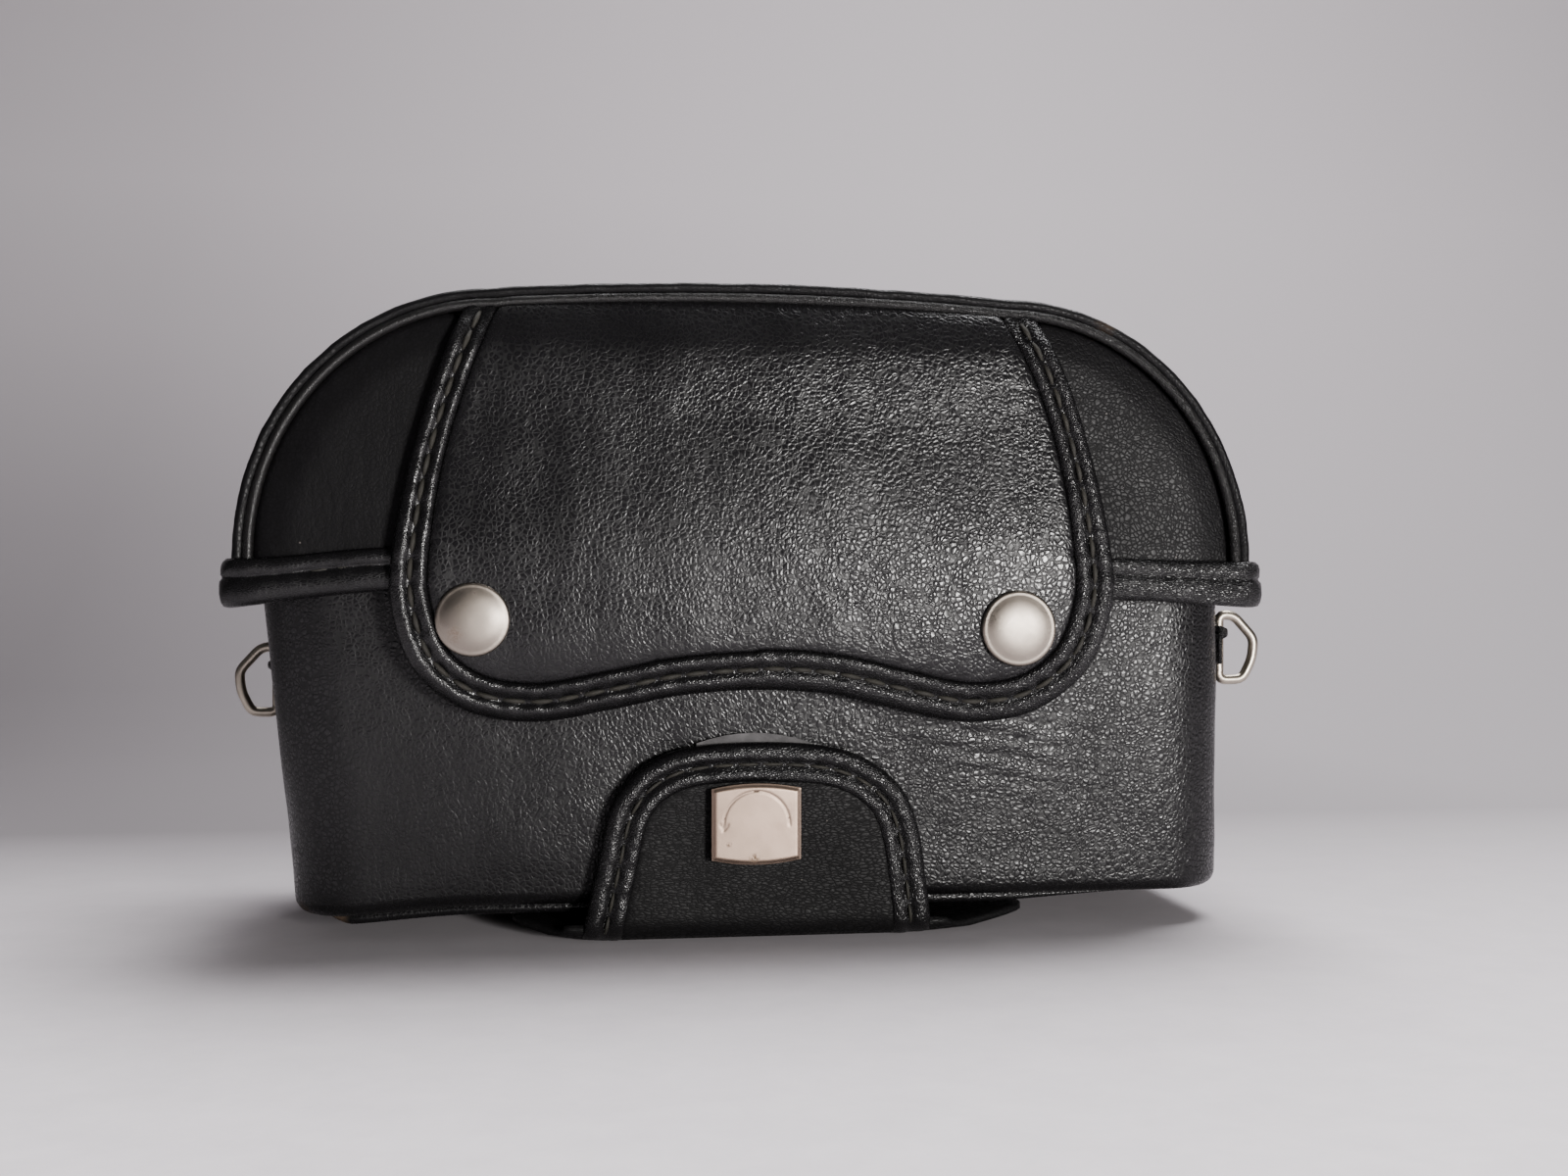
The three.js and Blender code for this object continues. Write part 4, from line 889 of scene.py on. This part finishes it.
def snap_cap(side, x, z):
    """A domed cap with a rolled rim, turned about the depth axis and slightly dented."""
    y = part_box(f"snap_cap_{side}")[0].y / MM + 1.65
    wide = 1.03 if side == "left" else 1.1
    sides = 64
    profile = [(1.9, -2.6), (1.9, -0.1), (5.4, -0.1), (5.8, 0.0), (5.95, 0.3), (5.9, 0.65), (5.7, 0.85),
               (5.45, 0.92), (5.25, 0.93), (5.0, 1.0), (4.5, 1.17), (3.8, 1.36), (2.9, 1.52), (1.9, 1.62),
               (0.9, 1.66), (0.02, 1.67)]
    verts = []
    for r, height in profile:
        for p in circle(Vector((0, 0)), Vector((1, 0)), Vector((0, 1)), r * wide, sides):
            dent = 0.035 * rough(p.x, p.y, x, 2.6) * ease((5.5 - r * wide) / 2)
            verts.append((x + p.x, y - height - dent, z + p.y))
    faces = tube_faces(len(profile), sides, False)
    cap = piece(f"snap_{side}", verts, faces, SNAP_NICKEL, "front_flap")
    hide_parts(f"snap_cap_{side}")


# ---- base flap, tab and lock ----

def tongue_depth(z):
    """How far forward the back of the tab stands: upright above, curling under at its foot."""
    bend = 4.2
    under = max(bend - z, 0) / bend
    return 33.4 - 4.6 * (1 - math.sqrt(1 - under**2))


def base_sheet():
    """The sheet under the case: flat in the middle, its wings bent up, its front edge rolled upwards."""
    ys = [*np.linspace(24, -24, 34), *np.linspace(-25.5, -34.2, 12)]
    us = np.linspace(-1, 1, 64)
    thick = 1.7
    top, bottom = [], []
    for y in ys:
        forward = ease((-y - 22) / 13)
        roll = max(-y - 31.0, 0)
        for u in us:
            half = mix(41 if u < 0 else 50, 32 if u < 0 else 33.5, forward**1.5)
            x = u * half
            wing = max(abs(x) - 25, 0) / (16 if u < 0 else 25)
            lift = 2.6 * wing**1.7 + 0.25 * roll**1.6
            lift = max(min(lift, 2.5) + 0.1 * rough(x, y, 3, 10) * min(wing * 2, 1), 0)
            bottom.append((x, y, lift))
            top.append((x, y, lift + thick - 0.7 * abs(u) ** 12))
    obj = sheet("base_leather", bottom, top, len(ys), len(us), TAB_LEATHER, "base_flap")
    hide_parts("base_flap_sheet")


def build_tab():
    """The tab that turns up over the front: panel, binding and thread, bending at its foot."""
    edge = smooth_line(TAB_EDGE, 0.7)
    inward = sides_of(edge)
    section = [(d * 1.04, h * 0.93) for d, h in BINDING_SECTION]
    binding = border("tab_welt", edge, section, tongue_depth, STITCH_PITCH)
    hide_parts("tab_binding")
    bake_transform(binding)

    inner = [Vector((p.x + n.x * 6.1, max(p.y + n.y * 6.1, 0.5))) for p, n in zip(edge, inward)]

    def face(x, z):
        return -(tongue_depth(z) + 1.95 + 0.2 * rough(x, 3, z, 12))

    panel = leather_panel("tab_leather_panel", inner, face, 1.8, TAB_LEATHER, None, 1.2, 0.5)
    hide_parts("tab_panel")
    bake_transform(panel)
    run = [p + n * 3.65 for p, n in zip(edge, inward)]
    line = [Vector((p.x, -(tongue_depth(p.y) + 2.12), p.y)) for p in run]
    thread = stitches("tab_stitches", line, [FORWARD] * len(line), None, STITCH_PITCH, 3.4, 0.32)
    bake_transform(thread)


def lock_plate():
    """Turn plate with bowed ends and a plain turning sign, an arc that ends in a small arrowhead."""
    half, side, bulge, front, back = 7.6, 6.0, 0.85, -38.1, -36.6
    columns, rows = 67, 61
    arc_radius, groove_depth, groove_half, tip = 5.6, 0.13, 0.26, Vector((-5.62, -1.0))

    def groove(x, z):
        strokes = [abs(math.hypot(x, z) - arc_radius)] if z > -0.3 else []
        if -0.9 < z < 0:
            strokes.append(abs(x + arc_radius))
        at = Vector((x, z)) - tip
        for barb in (Vector((0.75, 0.95)), Vector((-0.55, 1.1))):
            along = min(max(at.dot(barb) / barb.length_squared, 0), 1)
            strokes.append((at - barb * along).length)
        return groove_depth * ease(1 - min(strokes) / groove_half)

    def spread(count):
        """Steps from -1 to 1 that grow finer towards both ends."""
        return [math.copysign(abs(t) ** 0.9, t) for t in (2 * i / (count - 1) - 1 for i in range(count))]

    front_side, back_side = [], []
    for v in spread(rows):
        for u in spread(columns):
            tall = side + bulge * (1 - u * u)
            x, z = u * half, v * tall
            bevel = 0.42 * (1 - ease(min(half - abs(x), tall - abs(z)) / 0.75))
            front_side.append((x, front + bevel + groove(x, z) - 0.05 * (1 - u * u), z + LOCK_Z))
            back_side.append((x, back, z + LOCK_Z))
    plate = sheet("lock_turn_plate", front_side, back_side, rows, columns, LOCK_NICKEL, "lock_button")
    plate.data.set_sharp_from_angle(angle=math.radians(50))
    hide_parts("lock_plate")


# ---- carried-over CAD pieces ----

def pair(name):
    return [f"{name}_left", f"{name}_right"]


def finish_cad_nodes():
    """Gives every CAD node that still shows its own finish, and soft edges on the machined ones."""
    finishes = {
        STEEL: [*pair("snap_socket"), *pair("snap_stud"), *pair("shutter_blades"), "lock_post",
                "pressure_spring", "rewind_fork", "sprocket_shaft"],
        NICKEL: ["case_screw"],
        STRIKE: ["strike_plate"],
        CHROME: [*pair("lens_mount"), *pair("focus_ring"), "camera_bottom_plate", "camera_top_plate",
                 "advance_knob", "rewind_knob", "shutter_button", "accessory_shoe"],
        PAINT: [*pair("aperture_ring"), "pressure_plate", "lens_board", "take_up_spool", "frame_counter"],
        COVERING: ["camera_body", "camera_back_door"],
        GLASS: [*pair("front_lens"), "finder_front_window", "finder_eyepiece"],
        BRASS: ["tripod_bush"],
    }
    bevelled = {*pair("focus_ring"), *pair("aperture_ring"), "camera_bottom_plate", "camera_top_plate",
                "camera_back_door", "camera_body", "lens_board", "accessory_shoe", "strike_plate",
                "advance_knob", "rewind_knob", "case_screw"}
    for material, names in finishes.items():
        for name in names:
            node = NODES[name]
            node.data.materials.clear()
            node.data.materials.append(material)
            if name in bevelled:
                bevel = node.modifiers.new("soft_edges", "BEVEL")
                bevel.width = 0.25 * MM
                bevel.segments = 2
                bevel.limit_method = "ANGLE"
                bevel.angle_limit = math.radians(35)
                bevel.harden_normals = True


# ---- studio ----

def build_stage():
    """Pale floor that sweeps up into a grey backdrop, in metres, with painted shade: the floor behind the
    case and the backdrop are darker, most of all on the left.
    """
    start, bend, columns = 0.28, 0.5, 12
    profile = [(-5.0, 0.0), (start, 0.0)]
    profile += [(start + bend * math.sin(a), bend * (1 - math.cos(a)))
                for a in np.linspace(0.08, math.pi / 2, 16)]
    profile += [(start + bend, 2.2)]
    verts = [(x, y, z) for y, z in profile for x in np.linspace(-5, 5, columns)]
    corners = [i * columns + k for i in range(len(profile) - 1) for k in range(columns - 1)]
    faces = [(a, a + 1, a + columns + 1, a + columns) for a in corners]
    mesh = bpy.data.meshes.new("studio_sweep")
    mesh.from_pydata(verts, [], faces)
    mesh.shade_smooth()
    m = Nodes("studio_paper")
    at = m.where()
    x, y, z = m.add("ShaderNodeSeparateXYZ", Vector=at).outputs
    fibres = m.noise(at, 90, 6.0, 0.7)
    near = m.blend(m.span(fibres, 0.35, 0.7), (0.84, 0.79, 0.83), (0.92, 0.865, 0.905))
    across = m.span(x, -0.25, 0.25)
    # Painted shadow: the floor behind the case is coloured dark, darkest on the left, where the case's
    # shadow and the dim foot of the sweep fall.
    far = m.blend(across, (0.11, 0.1, 0.106), (0.28, 0.262, 0.275))
    # Painted light falloff: the backdrop is coloured darker on the left than on the right.
    wall = m.blend(across, (0.28, 0.257, 0.27), (0.36, 0.333, 0.35))
    # The pale floor near the camera turns into the painted shadow behind the case.
    tone = m.blend(m.span(y, -0.16, 0.12), near, far)
    tone = m.blend(m.span(z, 0.02, 0.3), tone, wall)
    m.set(Base_Color=tone, Roughness=0.85)
    mesh.materials.append(m.material)
    sweep = place("studio_sweep", mesh)


def area_light(name, spot, target, size, power, colour=(1, 1, 1)):
    data = bpy.data.lights.new(name, "AREA")
    data.shape = "RECTANGLE"
    data.size, data.size_y = size
    data.energy = power
    data.color = colour
    light = place(name, data)
    light.location = spot
    light.rotation_euler = (Vector(target) - Vector(spot)).to_track_quat("-Z", "Y").to_euler()


def build_lights():
    area_light("key", (0.25, -0.66, 0.08), (0.05, -0.03, 0.05), (0.11, 0.1), 6.0, (1.0, 0.975, 0.95))
    area_light("top", (0.25, 0.34, 1.1), (0.05, -0.05, 0), (0.9, 0.6), 24, (1.0, 0.985, 1.0))
    area_light("backdrop", (0.3, 0.25, 1.2), (0.25, 0.9, 0.35), (0.8, 0.4), 6)
    world = bpy.data.worlds.new("studio_air")
    world.use_nodes = True
    background = world.node_tree.nodes["Background"].inputs
    background["Color"].default_value = (0.5, 0.5, 0.51, 1)
    background["Strength"].default_value = 0.15
    bpy.context.scene.world = world


def build_camera():
    """Looks almost straight at the front, level with the cover's rim."""
    yaw = math.radians(8)
    forward = Vector((math.sin(yaw), math.cos(yaw), 0))
    right = Vector((math.cos(yaw), -math.sin(yaw), 0))
    data = bpy.data.cameras.new("camera")
    data.sensor_width = 36
    data.lens = 40.5
    data.clip_start, data.clip_end = 0.01, 20
    camera = place("camera", data)
    camera.location = forward * -0.336 + right * 0.0099 + Vector((0, 0, 0.0603))
    camera.rotation_euler = forward.to_track_quat("-Z", "Y").to_euler()
    bpy.context.scene.camera = camera


build_camera()
build_stage()
build_lights()
build_lower_case()
cover_gusset()
cover_pipings()
cover_panels()
cover_lining()
cover_band()
build_front_flap()
base_sheet()
build_tab()
lock_plate()
finish_cad_nodes()
